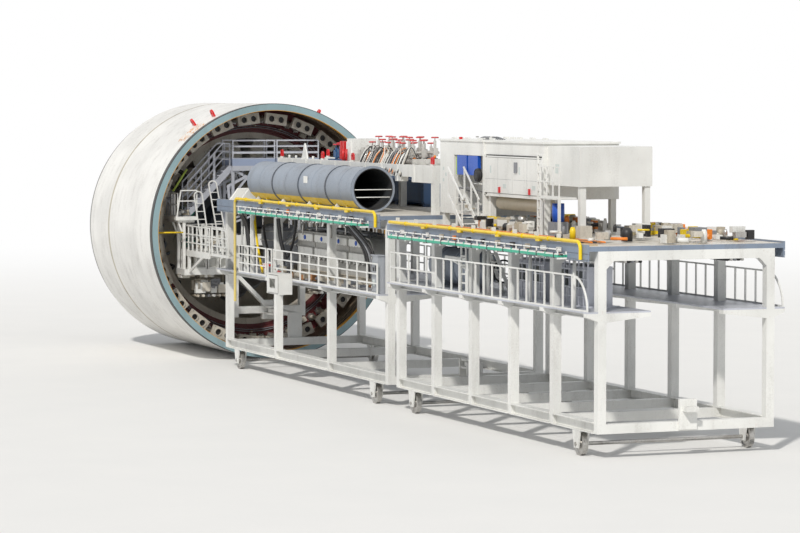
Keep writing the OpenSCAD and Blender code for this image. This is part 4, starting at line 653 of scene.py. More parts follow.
class BORER_OT_shield(bpy.types.Operator):
    """Adds the fittings inside the shield: ring glands, lock furniture, hoses, seals and valve blocks"""
    bl_idname = "borer.shield"
    bl_label = "Dress the shield"

    def execute(self, context):
        self.ring()
        self.locks()
        self.lines()
        self.skin()
        return {"FINISHED"}

    def ring(self):
        fittings = Shape("ring_fittings", "shield", "dark_red_paint")
        for i in range(PAIRS):
            angle = (i + 0.5) * 360 / PAIRS
            for s in (-1, 1):
                fittings.paint("bright_steel")
                place = polar(angle + s * 2.6, THRUST_R, RING_REAR)
                fittings.sleeve(place, REAR, 0.115, 0.155, 0.16)
                for k in range(6):
                    fittings.bolt(place + polar(k * 60, 0.185, 0), REAR, 0.018, 0.04)
            between = angle + 180 / PAIRS
            fittings.paint("shoe_paint" if i % 2 else "dark_red_paint")
            fittings.turned_box(between, THRUST_R - 0.12, RING_REAR, (0.22, 0.2, 0.26))
            fittings.paint("wall_paint")
            fittings.rod(polar(between - 1.2, THRUST_R - 0.3, RING_REAR),
                         polar(between - 1.2, THRUST_R - 0.3, RING_REAR + 0.3), 0.035, 8)
        fittings.paint("grey_paint")
        for radius in (4.36, 4.44):
            fittings.hoop((RING_REAR + 0.05, 0, 0), REAR, radius, 0.022, 96)
        fittings.put()

    def locks(self):
        locks = Shape("lock_fittings", "shield", "wall_paint")
        for s in (-1, 1):
            centre = Vector((LOCK_FACE, s * LOCK_Y, LOCK_Z))
            locks.paint("wall_paint")
            for k in range(28):
                locks.bolt(centre + polar(k * 360 / 28, 1.05, -0.06), REAR, 0.022, 0.03)
            locks.paint("white_paint")
            locks.rod(centre + Vector((0.03, -0.42, -0.05)), centre + Vector((0.03, 0.42, -0.05)), 0.03)
            for y in (-0.55, 0.55):
                grip = centre + Vector((-0.05, y, -0.25))
                locks.hose([grip, grip + Vector((0.09, 0, 0.03)), grip + Vector((0.09, 0, 0.4)),
                            grip + Vector((0, 0, 0.43))], 0.018, 6, 3)
            locks.paint("bright_steel")
            wheel = centre + Vector((0.0, -0.72 * s, 0.5))
            locks.rod(wheel + Vector((-0.06, 0, 0)), wheel + Vector((0.08, 0, 0)), 0.02)
            locks.hoop(wheel + Vector((0.07, 0, 0)), REAR, 0.13, 0.016, 20)
            locks.paint("black")
            locks.turned(centre + Vector((-0.06, 0.7 * s, 0.35)), REAR,
                         [(0, 0.13), (0.04, 0.13), (0.06, 0.1)], 20)
            for k in range(3):
                locks.turned(centre + Vector((-0.06, -0.25 + 0.25 * k, 0.8)), REAR,
                             [(0, 0.05), (0.05, 0.05)], 12)
            locks.paint("wall_paint")
            locks.box(centre + Vector((-0.06, -0.3, -0.98)), centre + Vector((0.1, 0.3, -0.84)))
        locks.put()

    def lines(self):
        rng = random.Random(7)
        lines = Shape("shield_lines", "shield", "grey_paint")
        kinds = ["rubber", "rubber", "grey_paint", "wall_paint", "duct_paint"]
        for k in range(46):
            angle = rng.uniform(20, 160) if k % 3 else rng.uniform(165, 240)
            lines.paint(rng.choice(kinds))
            start = polar(angle, rng.uniform(2.9, 3.9), BULKHEAD_X)
            end = polar(angle + rng.uniform(-9, 9), rng.uniform(4.0, 4.2), -3.62)
            sag = polar(angle + rng.uniform(-6, 6), rng.uniform(3.3, 4.0), -4.9)
            if abs(abs(sag.y) - LOCK_Y) < 1.25 and abs(sag.z - LOCK_Z) < 1.25:
                sag.z = LOCK_Z + 1.3
                start.z = LOCK_Z + 1.25
            lines.hose([start, sag, end], rng.choice((0.03, 0.04, 0.06)), 7, 6)
        for k in range(5):
            lines.paint("rubber")
            lines.hoop((-2.28 + 0.04 * k, -3.6, 2.15), (1, 0.2, 0), 0.34 + 0.03 * k, 0.028, 22)
        for s in (-1, 1):
            for k in range(4):
                lines.paint(kinds[k])
                y, z = s * (1.38 + 0.07 * k), -0.12
                lines.rod((BULKHEAD_X, y, z), (-0.4, y, z), 0.027, 8)
        lines.paint("lamp")
        for y in (-1.2, 0.4, 1.9):
            lines.box((-1.9, y - 0.03, PLATFORM_Z - 0.26), (-1.1, y + 0.03, PLATFORM_Z - 0.2))
        lines.put()

    def skin(self):
        """Rust spots on the left of the tail, cover plates all round and the seal's brushes."""
        skin = Shape("shield_skin_fittings", "shield", "shield_paint")
        skin.paint("weld_rust")
        rng = random.Random(17)
        for _ in range(42):
            place = polar(rng.uniform(122.5, 135), SHELL_R, rng.uniform(-1.35, -0.35))
            skin.bolt(place, place - Vector((place.x, 0, 0)), rng.uniform(0.02, 0.045), 0.006)
        skin.paint("shield_paint")
        for x, count in ((-2.4, 18), (-5.6, 18), (-8.2, 12)):
            for k in range(count):
                skin.plate(90 + (k + 0.25) * 360 / count, SHELL_R - 0.002, x, 0.34, 0.3, 0.008)
        skin.paint("brush")
        for x in (-0.5, -0.85, -1.2):
            skin.sleeve((x, 0, 0), REAR, 5.15, 5.245, 0.16, 96)
        skin.put()


class BORER_OT_shoes(bpy.types.Operator):
    """Adds the dark bearings and corner bolts in the shoes of the thrust cylinders"""
    bl_idname = "borer.shoes"
    bl_label = "Dress the shoes"

    def execute(self, context):
        for quarter, side in enumerate(("top", "left", "bottom", "right")):
            body = "thrust_" + side
            shoes = Shape(body + "_bearings", body, "shoe_paint")
            for i in range(6):
                angle = (3 + 6 * quarter + i + 0.5) * 360 / PAIRS
                around = polar(angle + 90, 1, 0)
                middle = polar(angle, SHOE_R, SHOE_FACE)
                out = polar(angle, 1, 0)
                for s in (-1, 1):
                    shoes.paint("black")
                    shoes.turned(middle + around * 0.215 * s, REAR, [(0, 0.128), (0.012, 0.128)], 20)
                    shoes.paint("bright_steel")
                    for t in (-1, 1):
                        corner = middle + around * 0.43 * s + out * 0.18 * t + Vector((0.089, 0, 0))
                        shoes.bolt(corner, REAR, 0.022, 0.02)
            shoes.put()
        return {"FINISHED"}


class BORER_OT_platforms(bpy.types.Operator):
    """Adds the clutter, hoses and guards on the shield's platforms"""
    bl_idname = "borer.platforms"
    bl_label = "Dress the platforms"

    def execute(self, context):
        rng = random.Random(11)
        load = Shape("platform_load", "shield", "white_paint")
        beige = ("wall_paint", "shoe_paint", "white_paint", "grey_paint", "shoe_paint")
        pale = ("shoe_paint", "white_paint", "man_locks")
        for s in (-1, 1):
            low, high = sorted((s * 1.9, s * 3.3))
            crate(load, rng, (-1.55, low, -1.55), (-0.85, high, -0.95), 26, beige)
            crate(load, rng, (-1.5, low, -0.8), (-0.5, high, -0.2), 20, beige, 0.06, 0.24)
            crate(load, rng, (-1.5, low, -2.6), (-0.6, high, -1.95), 44, beige, 0.1, 0.45)
            low, high = sorted((s * 3.3, s * 4.0))
            crate(load, rng, (-2.2, low, 0.65), (-1.0, high, 0.95), 12, beige, 0.08, 0.25)
            low, high = sorted((s * 2.2, s * 3.95))
            crate(load, rng, (-1.5, low, -1.95), (-0.7, high, -1.65), 34, pale, 0.08, 0.3)
            for k in range(4):
                load.paint("galvanised")
                x = -2.2 + 0.3 * k
                load.rod((x, s * 4.05, 0.65), (x, s * 4.05, 1.7), 0.022, 6)
            for z in (1.1, 1.4, 1.7):
                load.rod((-2.2, s * 4.05, z), (-1.3, s * 4.05, z), 0.022, 6)
            for k in range(6):
                y = s * (1.95 + 0.24 * k)
                load.paint(beige[k % 5])
                load.rod((-1.6, y, -2.7), (-0.7, y, -2.7), 0.06, 8)
            for k in range(3):
                load.paint("wall_paint")
                load.rod((-1.2, s * (1.9 + 0.55 * k), -2.75), (-1.2, s * (1.9 + 0.55 * k), -1.8), 0.05, 8)
        crate(load, rng, (-2.1, 1.0, PLATFORM_Z), (-1.3, 2.0, PLATFORM_Z + 0.3), 6,
              ["white_paint", "grey_paint", "blue_paint"], 0.1, 0.3)
        load.put()

        hoses = Shape("platform_hoses", "shield", "rubber")
        for k in range(9):
            hoses.paint("rubber" if k % 3 else "grey_paint")
            y = -1.3 + 0.33 * k
            sag = 2.2 - 0.1 * (k % 4)
            hoses.hose([(-2.2, y, 2.5), (-1.9, y + 0.1, sag), (-1.2, y - 0.1, 2.1), (-0.95, y, 2.5)],
                       0.024, 6, 5)
        for k in range(5):
            hoses.paint("rubber")
            y = -3.3 - 0.09 * k
            hoses.hose([(-2.25, y, 1.9), (-2.1, y - 0.1, 1.3 + 0.1 * k), (-1.9, y, 0.66)], 0.03, 6, 6)
        hoses.paint("yellow_paint")
        hoses.rod((-0.42, -5.05, 0.0), (-0.42, -3.9, 0.0), 0.035, 8)
        hoses.paint("lime")
        hoses.rod((-1.3, -4.06, 1.7), (-1.3, -3.45, 2.62), 0.045, 8)
        hoses.put()
        return {"FINISHED"}


class BORER_OT_head(bpy.types.Operator):
    """Adds bolts and nozzles to the cutterhead"""
    bl_idname = "borer.head"
    bl_label = "Dress the cutterhead"

    def execute(self, context):
        head = Shape("head_fittings", "cutterhead_body", "head_steel")
        head.paint("bright_steel")
        for k in range(8):
            angle = k * 45
            for r in (1.15, 2.05):
                place = polar(angle + 12, r, HEAD_FACE)
                head.turned(place, (-1, 0, 0), [(0, 0.09), (0.05, 0.09), (0.07, 0.05)], 14)
            for r in (2.35, 3.2, 4.1):
                for s in (-1, 1):
                    place = polar(angle + s * math.degrees(0.36 / r), r, HEAD_FACE)
                    head.bolt(place, (-1, 0, 0), 0.04, 0.03)
        head.paint("rust")
        for k in range(24):
            head.bolt(polar(k * 15 + 7.5, 1.85, HEAD_FACE), (-1, 0, 0), 0.035, 0.03)
        head.put()
        return {"FINISHED"}


class BORER_OT_duct(bpy.types.Operator):
    """Adds flange bolts, cross bars, feet and a blank sticker to the air duct"""
    bl_idname = "borer.duct"
    bl_label = "Dress the air duct"

    def execute(self, context):
        duct = Shape("duct_fittings", "gantry_1", "duct_paint")
        duct.paint("duct_paint")
        for x in (DUCT_X + 3, DUCT_X + 6, DUCT_X + 9):
            middle = Vector((x - 0.055, DUCT_Y, DUCT_Z))
            for k in range(32):
                duct.bolt(middle + polar(k * 360 / 32, DUCT_R + 0.012, 0), REAR, 0.011, 0.11)
        duct.paint("bright_steel")
        middle = Vector((DUCT_END - 0.18, DUCT_Y, DUCT_Z))
        for k in range(36):
            duct.bolt(middle + polar(k * 10, DUCT_R + 0.035, 0), REAR, 0.013, 0.17)
        duct.paint("white_paint")
        for z in (DUCT_Z - 0.02, DUCT_Z - 0.3):
            half = math.sqrt(DUCT_R ** 2 - (z - DUCT_Z) ** 2)
            x = DUCT_END - 0.03
            duct.rod((x, DUCT_Y - half, z), (x, DUCT_Y + half, z), 0.02, 8)
        skin = DUCT_Y - DUCT_R
        duct.box((12.05, skin - 0.006, DUCT_Z + 0.1), (12.45, skin + 0.02, DUCT_Z + 0.36))
        # A black ring lines the bore at the duct's open end: painted shade that carries the dark inner wall
        # on to the lip
        duct.paint("black")
        duct.sleeve((DUCT_END - 0.02, DUCT_Y, DUCT_Z), REAR, 0.735, 0.762, 0.02, 48)
        for k in range(4):
            x = DUCT_X + 0.6 + 3 * k
            duct.paint("white_paint")
            duct.prism([(DUCT_Y - 0.75, DECK_1), (DUCT_Y - 0.35, DECK_1), (DUCT_Y - 0.5, DECK_1 + 0.28)],
                       x - 0.04, x + 0.04, lambda u, v, h: (h, u, v))
        duct.put(0.004)

        for x in (3.2, 4.5):
            foot = Shape("duct_foot_%d" % round(x * 10), "gantry_1", "white_paint")
            foot.paint("white_paint")
            foot.prism([(-3.1, DECK_1), (-1.5, DECK_1), (-1.9, DECK_1 + 0.5), (-2.7, DECK_1 + 0.5)],
                       x - 0.06, x + 0.06, lambda u, v, h: (h, u, v))
            foot.put(0.01)
        return {"FINISHED"}


class BORER_OT_valves(bpy.types.Operator):
    """Adds handwheels, hoses, gauges and boxes on the notched beams"""
    bl_idname = "borer.valves"
    bl_label = "Dress the valve station"

    def execute(self, context):
        rng = random.Random(5)
        valves = Shape("valve_wheels", "gantry_1", "red_paint")
        places = []
        for i in range(3):
            for y in (-0.42, 0.0, 0.42):
                places.append((0.35 + 0.42 * i, y, 0.179, 0.56 + 0.06 * i))
        for i in range(9):
            for y in (-0.5, -0.08, 0.38):
                height = 0.7 + 0.11 * ((i * 2 + (1 if y > 0 else 0)) % 3)
                places.append((4.5 + 0.52 * i, y + (i % 2) * 0.06, 0.2, height))
        for x, y, z, height in places:
            top = Vector((VALVE_X + x, y, VALVE_Z + z + height))
            valves.paint("red_paint" if x > 1.7 or y < 0 else "bright_steel")
            valves.hoop(top, UP, 0.12, 0.028, 18)
            valves.turned(top + Vector((0, 0, -0.03)), UP, [(0, 0.032), (0.05, 0.032), (0.06, 0.02)], 8)
        valves.paint("red_paint")
        for x in (9.5, 9.78):
            valves.box((x, -0.6, BEAM_TOP + 0.04), (x + 0.2, -0.2, BEAM_TOP + 0.75))
        for x in (10.15, 10.5):
            valves.rod((x, -0.7, BEAM_TOP), (x, -0.7, BEAM_TOP + 0.45), 0.05, 10)
        valves.put()

        gear = Shape("valve_lines", "gantry_1", "rubber")
        kinds = ("rubber", "rubber", "grey_paint", "bright_steel", "white_paint", "shoe_paint", "rubber",
                 "orange")
        for k in range(44):
            gear.paint(rng.choice(kinds))
            x = VALVE_X + 4.4 + 0.107 * k
            y = rng.uniform(-0.6, -0.2)
            high = VALVE_Z + rng.uniform(0.5, 0.8)
            low = VALVE_Z - rng.uniform(0.1, 0.35)
            gear.hose([(x, y, VALVE_Z + 0.35), (x + 0.05, y - 0.25, high), (x + 0.12, -0.9, VALVE_Z + 0.45),
                       (x + 0.15, -1.2, low)], 0.02, 6, 5)
        for k in range(16):
            gear.paint(rng.choice(kinds))
            x = VALVE_X + 2.7 + 0.08 * k
            gear.hose([(x, 0.45, VALVE_Z + 0.4), (x, 0.75, VALVE_Z + 0.6),
                       (x + 0.1, 1.2, VALVE_Z + 0.1)], 0.018, 6, 4)
        white = ["white_paint", "bright_steel", "grey_paint", "orange"]
        crate(gear, rng, (12.55, -0.66, VALVE_Z + 0.1), (17.3, 0.66, VALVE_Z + 0.5), 70, white, 0.06, 0.22)
        crate(gear, rng, (8.35, -0.6, VALVE_Z + 0.18), (9.4, 0.6, VALVE_Z + 0.5), 24,
              ["blue_paint", "black"])
        gear.paint("bright_steel")
        for k in range(18):
            top = Vector((12.7 + 0.25 * k, -0.68, VALVE_Z + rng.uniform(0.35, 0.6)))
            gear.turned(top, LEFT, [(0, 0.05), (0.03, 0.05), (0.035, 0.04)], 12)
        gear.put()

        mark = Shape("beam_plate", "gantry_1", "white_paint")
        mark.paint("white_paint")
        mark.prism([(-0.35, 0.0), (0.35, 0.0), (0.04, 0.62), (-0.04, 0.62)], -1.03, -0.97,
                   lambda u, v, h: (6.6 + u, h, BEAM_TOP + v))
        for x in (4.6, 5.4, 7.4):
            mark.rod((x, -0.95, BEAM_TOP), (x, -0.95, BEAM_TOP + 0.12), 0.05, 10)
        mark.paint("rubber")
        for k in range(3):
            y = -0.75 + 0.12 * k
            mark.hose([(3.9, y, BEAM_TOP - 0.1), (5.4, y + 0.03, BEAM_TOP - 0.09),
                       (8.2, y, BEAM_TOP - 0.1)], 0.03, 6, 6)
        mark.put(0.006)
        return {"FINISHED"}


class BORER_OT_edges(bpy.types.Operator):
    """Adds the cables in the trays, the hanging hoses, clips and clamps along the decks' edges"""
    bl_idname = "borer.edges"
    bl_label = "Dress the deck edges"

    def execute(self, context):
        self.trays("gantry_1", 1, 6.2, 19.9, TRAY_1)
        self.trays("gantry_2", 2, 22.6, 36.9, TRAY_2)
        self.drops()
        self.clamps()
        self.hanging_hose()
        return {"FINISHED"}

    def trays(self, body, number, x0, x1, z):
        rng = random.Random(number)
        tray = Shape("tray_cables_%d" % number, body, "rubber")
        kinds = ("rubber", "rubber", "black", "grey_paint", "red_paint", "white_paint")
        tags = ("white_paint", "grey_paint", "black", "white_paint", "wall_paint", "orange")
        steps, clips, loads = 18, 22, 12
        for s in (-1, 1):
            for k, kind in enumerate(kinds):
                tray.paint(kind)
                y = s * (DECK_HALF + 0.12 + 0.028 * k)
                height = z + (0.105 if k > 3 else 0.075)
                step = (x1 - x0 - 0.1) / steps
                tray.hose([(x0 + 0.05 + step * i, y + rng.uniform(-0.012, 0.012), height)
                           for i in range(steps + 1)], 0.021, 6, 3)
            low, high = sorted((s * 3.69, s * 3.725))
            for i in range(clips):
                x = x0 + 0.3 + (x1 - x0 - 0.6) * i / (clips - 1)
                tray.paint("black" if i % 2 else "green_paint")
                tray.box((x - 0.03, low, z - 0.02), (x + 0.03, high, z + 0.14))
                tray.paint("black")
                tray.hoop((x + 0.25, s * 3.705, z + 0.25), REAR, 0.026, 0.008, 8)
            low, high = sorted((s * 3.42, s * 3.5))
            for i in range(loads):
                x = x0 + (x1 - x0) * (i + 0.5) / loads
                tray.paint(rng.choice(tags))
                tray.box((x, low, z + 0.16), (x + rng.uniform(0.1, 0.3), high, z + 0.3))
        tray.put()

    def drops(self):
        """Cables that leave the front gantry's trays and hang down to its machines."""
        rng = random.Random(3)
        drops = Shape("tray_drops", "gantry_1", "rubber")
        for k in range(7):
            drops.paint("rubber")
            x = 5.72 + 0.07 * k
            end = (x + 0.1, -3.15, -0.9 + 0.1 * (k % 3))
            drops.hose([(x + 0.5, -3.55, 1.14), (x + 0.18, -3.55, 1.02), (x, -3.3, 0.6),
                        (x - 0.02, -3.2, -0.1), end], rng.choice((0.03, 0.04)), 8, 5)
        for x in (9.75, 9.93):
            drops.hose([(x, -3.3, 1.05), (x - 0.05, -3.25, 0.7), (x - 0.2, -3.1, 0.0),
                        (x - 0.2, -2.9, -0.7)], 0.05, 10, 6)
        for k in range(5):
            drops.paint("rubber" if k != 2 else "grey_paint")
            x = 17.6 + 0.24 * k
            drops.hose([(x, -3.55, 1.12), (x + 0.25, -3.45, 0.9), (x + 0.9, -3.2, 0.35),
                        (x + 1.1, -3.05, -0.2), (x + 1.15, -3.0, -0.9)], 0.04, 8, 6)
        drops.paint("yellow_paint")
        drops.hose([(6.0, -2.95, 0.95), (6.3, -3.0, 0.4), (6.9, -3.1, -0.4), (7.7, -3.2, -1.25)],
                   0.05, 8, 5)
        drops.paint("bright_steel")
        for k in range(8):
            x = 7.2 + 1.55 * k
            drops.rod((x, -3.0, 1.0), (x, -3.0, 0.6 - 0.2 * (k % 2)), 0.03, 8)
        drops.put()

    def clamps(self):
        """Clamps round the yellow lines."""
        clamp = [(0, 0.075), (0.09, 0.075)]
        clamps = Shape("edge_clamps", "gantry_1", "yellow_paint")
        for x in range(6, 20, 2):
            clamps.paint("yellow_paint")
            clamps.turned((x + 0.4, LINE_Y, LINE_1), REAR, clamp, 16)
            clamps.paint("white_paint")
            clamps.box((x + 0.42, -3.4, 1.5), (x + 0.47, -3.3, 1.56))
        clamps.put()
        clamps = Shape("edge_clamps_2", "gantry_2", "yellow_paint")
        clamps.paint("yellow_paint")
        for x in range(24, 38, 2):
            clamps.turned((x - 0.4, LINE_Y, LINE_2), REAR, clamp, 16)
        clamps.put()

    def hanging_hose(self):
        """The one cord: the black hose that hangs in a loop under the front gantry's deck."""
        route = [(6.2, 1.15), (6.2, 0.95), (6.22, 0.7), (6.27, 0.45), (6.36, 0.2), (6.5, -0.06),
                 (6.7, -0.33), (6.96, -0.56), (7.27, -0.73), (7.6, -0.83), (7.95, -0.87), (8.3, -0.86),
                 (8.64, -0.8), (8.96, -0.68), (9.25, -0.51), (9.5, -0.3), (9.71, -0.06), (9.88, 0.2),
                 (10.01, 0.46), (10.1, 0.72), (10.15, 0.95), (10.17, 1.15)]
        line = bpy.data.curves.new("hanging_hose", "CURVE")
        line.dimensions = "3D"
        line.bevel_depth = 0.05 * SCALE
        line.bevel_resolution = 4
        line.resolution_u = 6
        line.use_fill_caps = True
        spline = line.splines.new("BEZIER")
        spline.bezier_points.add(len(route) - 1)
        points = [at(x, -2.65, z) for x, z in route]
        for point, place in zip(spline.bezier_points, points):
            point.co = place
            point.handle_left_type = "AUTO"
            point.handle_right_type = "AUTO"
        line.materials.append(MADE["rubber"])
        hose = bpy.data.objects.new("hanging_hose", line)
        bpy.context.scene.collection.objects.link(hose)
        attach(hose, "gantry_1")
        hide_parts("loop_hose")


class BORER_OT_front_gantry(bpy.types.Operator):
    """Adds the tank's knobs and pipes, the cabinets' marks and the gear under the front deck"""
    bl_idname = "borer.front_gantry"
    bl_label = "Dress the front gantry"

    def execute(self, context):
        rng = random.Random(21)
        tank = Shape("tank_fittings", "gantry_1", "tank_paint")
        bay = (TANK_END - 0.7 - TANK_X) / 4
        for i in range(4):
            tank.paint("blue_bright")
            x = TANK_X + (i + 0.5) * bay
            tank.turned((x, TANK_Y - 0.08, 0.26), LEFT, [(0, 0.09), (0.03, 0.09), (0.05, 0.06)], 16)
            tank.paint("bright_steel")
            for k in range(6):
                for z in (0.13, -0.39, -0.1, -0.62):
                    tank.bolt((TANK_X + i * bay + 0.2 + k * 0.29, TANK_Y - 0.085, z), LEFT, 0.018, 0.015)
        tank.paint("grey_paint")
        for y in (-2.2, -1.9, -1.6):
            tank.hose([(TANK_X + 0.3, y, 0.58), (13.0, y + 0.05, 0.62), (16.8, y, 0.58)], 0.05, 8, 6)
        for k in range(4):
            tank.hoop((TANK_X + 1.2 + 2.0 * k, TANK_Y + 0.2, 0.49), (0, 1, 0), 0.12, 0.018, 14,
                      0.0, math.pi)
        crate(tank, rng, (10.0, -3.2, WALK_1), (18.5, -2.6, WALK_1 + 0.35), 40,
              ["wall_paint", "shoe_paint", "grey_paint", "rust"], 0.08, 0.3)
        tank.put()

        pump = Shape("pump_gear", "gantry_1", "grey_paint")
        steel = ["grey_paint", "bright_steel", "white_paint", "wall_paint"]
        crate(pump, rng, (6.6, -3.1, WALK_1), (9.6, -2.75, WALK_1 + 0.5), 26,
              steel + ["red_paint"], 0.08, 0.3)
        for k in range(10):
            pump.paint(steel[k % 4])
            x = 6.5 + 0.33 * k
            pump.hose([(x, -2.0, -0.2), (x + 0.1, -1.5, 0.3), (x + 0.1, -1.45, 0.95)], 0.035, 8, 5)
        pump.paint("bright_steel")
        x, y = 5.9, -1.9
        for k in range(20):
            a = k * math.pi / 10
            pump.bolt((x + 0.62 * math.cos(a), y + 0.62 * math.sin(a), 0.48), UP, 0.02, 0.03)
        pump.hoop((x, y, -0.05), UP, 0.7, 0.03, 32)
        pump.hoop((x, y, 0.3), UP, 0.7, 0.02, 32)
        pump.paint("white_paint")
        for x in (4.6, 5.0, 6.1):
            pump.rod((x, -3.0, WALK_1), (x, -3.0, 1.0), 0.04, 8)
        pump.put()

        marks = Shape("cabinet_marks", "gantry_1", "white_paint")
        marks.paint("black")
        marks.box((20.05, -3.31, -0.55), (20.2, -3.3, -0.42))
        marks.box((20.28, -3.31, -0.55), (20.45, -3.3, -0.35))
        marks.paint("mark_pale")
        marks.box((20.05, -3.306, -1.1), (20.25, -3.3, -0.85))
        marks.paint("bright_steel")
        for z in (-1.2, -0.15):
            marks.rod((20.0, -3.32, z), (20.0, -3.32, z + 0.12), 0.02, 8)
        marks.put()

        under = Shape("deck_under_lines", "gantry_1", "bright_steel")
        for s in (-1, 1):
            for k in range(5):
                under.paint(["bright_steel", "rubber", "grey_paint"][k % 3])
                y = s * (1.5 + 0.13 * k)
                under.rod((3.0, y, UNDER_1), (20.5, y, UNDER_1), 0.045, 8)
        under.paint("lamp")
        for k in range(6):
            under.box((4.5 + 2.8 * k, -0.04, 1.2), (5.6 + 2.8 * k, 0.04, 1.27))
        under.put()
        return {"FINISHED"}


class BORER_OT_rear_gantry(bpy.types.Operator):
    """Adds the container's panels, shelf and roof gear, the cabinet's seams with a painted shadow line over
    its doors, and the rear deck's loads
    """
    bl_idname = "borer.rear_gantry"
    bl_label = "Dress the rear gantry"

    def execute(self, context):
        self.container()
        self.cabinet()
        self.deck()
        self.below()
        return {"FINISHED"}

    def container(self):
        rng = random.Random(31)
        box = Shape("container_fittings", "gantry_2", "white_paint")
        front = BOX_Y
        box.paint("blue_bright")
        for x0, x1 in ((23.35, 24.22), (24.34, 25.2)):
            box.box((x0, front - 0.005, 2.98), (x1, front + 0.12, 3.66))
        box.paint("lime")
        box.box((23.25, front, 2.98), (23.35, front + 0.1, 3.6))
        box.paint("grey_paint")
        for x in (23.4, 24.45, 24.2):
            box.rod((x, front + 0.06, 3.66), (x, front + 0.06, 3.72), 0.02, 6)
        shelf = [(23.45, 2.02), (24.55, 2.02), (24.55, 2.52), (23.45, 2.52)]
        for first, second in zip(shelf, shelf[1:] + shelf[:1]):
            box.rod((first[0], front + 0.04, first[1]), (second[0], front + 0.04, second[1]), 0.025, 8)
        for x in (23.45, 24.55):
            box.rod((x, front + 0.04, 2.52), (x, front + 0.75, 2.3), 0.02, 6)
        box.paint("white_paint")
        box.rod((24.9, front - 0.02, 2.7), (25.6, front - 0.02, 2.7), 0.02, 8)
        box.paint("black")
        box.turned((25.34, front + 0.02, 3.0), LEFT,
                   [(-0.1, 0.05), (0.02, 0.24), (0.1, 0.24), (0.16, 0.12)], 20)
        for k in range(4):
            box.hoop((25.34, front - 0.02 - 0.03 * k, 3.0), (0, 1, 0), 0.21, 0.016, 18)
        box.paint("mark_pale")
        for i in range(3):
            for k in range(3):
                x, z = 22.05 + 0.22 * i, 2.7 + 0.2 * k
                if (i + k) % 2 == 0:
                    box.box((x, front - 0.004, z), (x + 0.12, front, z + 0.12))
        box.paint("white_paint")
        for x in (22.0, 22.6, 23.2, 24.3, 25.4):
            for s in (-1, 1):
                box.box((x, s * 1.0 - 0.05, BOX_TOP + 0.06), (x + 0.3, s * 1.0 + 0.05, BOX_TOP + 0.12))
        box.paint("grey_paint")
        for k in range(6):
            box.hose([(24.0 + 0.2 * k, -0.9, BOX_TOP + 0.06), (24.2 + 0.2 * k, -0.7, BOX_TOP + 0.16),
                      (24.5 + 0.2 * k, -0.5, BOX_TOP + 0.07)], 0.018, 6, 4)
        box.paint("red_paint")
        box.box((23.05, -1.2, BOX_TOP + 0.06), (23.13, -1.1, BOX_TOP + 0.14))
        crate(box, rng, (23.9, -1.1, BOX_TOP + 0.06), (25.3, -0.4, BOX_TOP + 0.2), 14,
              ["white_paint", "grey_paint", "bright_steel"], 0.04, 0.1)
        crate(box, rng, (23.2, -1.2, 1.7), (25.5, -0.7, 2.0), 16,
              ["white_paint", "grey_paint", "wall_paint"], 0.08, 0.25)
        box.paint("grey_paint")
        for k in range(9):
            z = 2.1 + 0.09 * k
            box.box((23.3, 1.4, z), (24.6, 1.425, z + 0.03))
        box.paint("white_paint")
        box.box((22.0, 1.4, 1.75), (22.9, 1.43, 3.75))
        box.rod((22.8, 1.45, 2.7), (22.8, 1.45, 2.9), 0.02, 6)
        box.put(0.003)

    def cabinet(self):
        face = BOX_Y
        doors = (("gantry_2_door_left", 25.75, 28.12, 27.1), ("gantry_2_door_right", 28.18, 30.55, 29.6))
        for body, x0, x1, latch in doors:
            leaf = Shape(body + "_marks", body, "white_paint")
            leaf.paint("seam")
            middle = (x0 + x1) / 2
            leaf.box((middle - 0.006, face - 0.002, 2.45), (middle + 0.006, face + 0.01, 3.62))
            leaf.box((x0 + 0.08, face - 0.002, 2.9), (x1 - 0.08, face + 0.01, 2.91))
            leaf.paint("red_paint")
            leaf.box((latch - 0.05, face - 0.05, 2.44), (latch + 0.05, face, 2.64))
            leaf.paint("mark_pale")
            leaf.box((x0 + 0.5, face - 0.003, 3.1), (x0 + 0.62, face + 0.01, 3.35))
            leaf.box((x1 - 0.75, face - 0.003, 2.6), (x1 - 0.5, face + 0.01, 2.75))
            if body.endswith("right"):
                leaf.paint("grey_paint")
                leaf.box((28.35, face - 0.04, 3.15), (28.58, face, 3.5))
            leaf.put()
        case = Shape("cabinet_seams_and_shadow_line", "gantry_2", "white_paint")
        # A black strip in the slot over the doors: a painted shadow line
        case.paint("black")
        case.box((25.95, face + 0.03, 3.69), (30.35, face + 0.09, 3.73))
        case.paint("white_paint")
        for low, high in ((3.645, 3.69), (2.31, 2.415)):
            case.box((25.95, face + 0.02, low), (30.35, face + 0.09, high))
        case.paint("grey_paint")
        for k in range(7):
            case.box((25.9 + 0.65 * k, 1.4, 2.6), (26.35 + 0.65 * k, 1.42, 3.7))
        case.paint("mark_pale")
        case.box((31.2, -1.204, 3.2), (31.5, -1.2, 3.5))
        case.put()

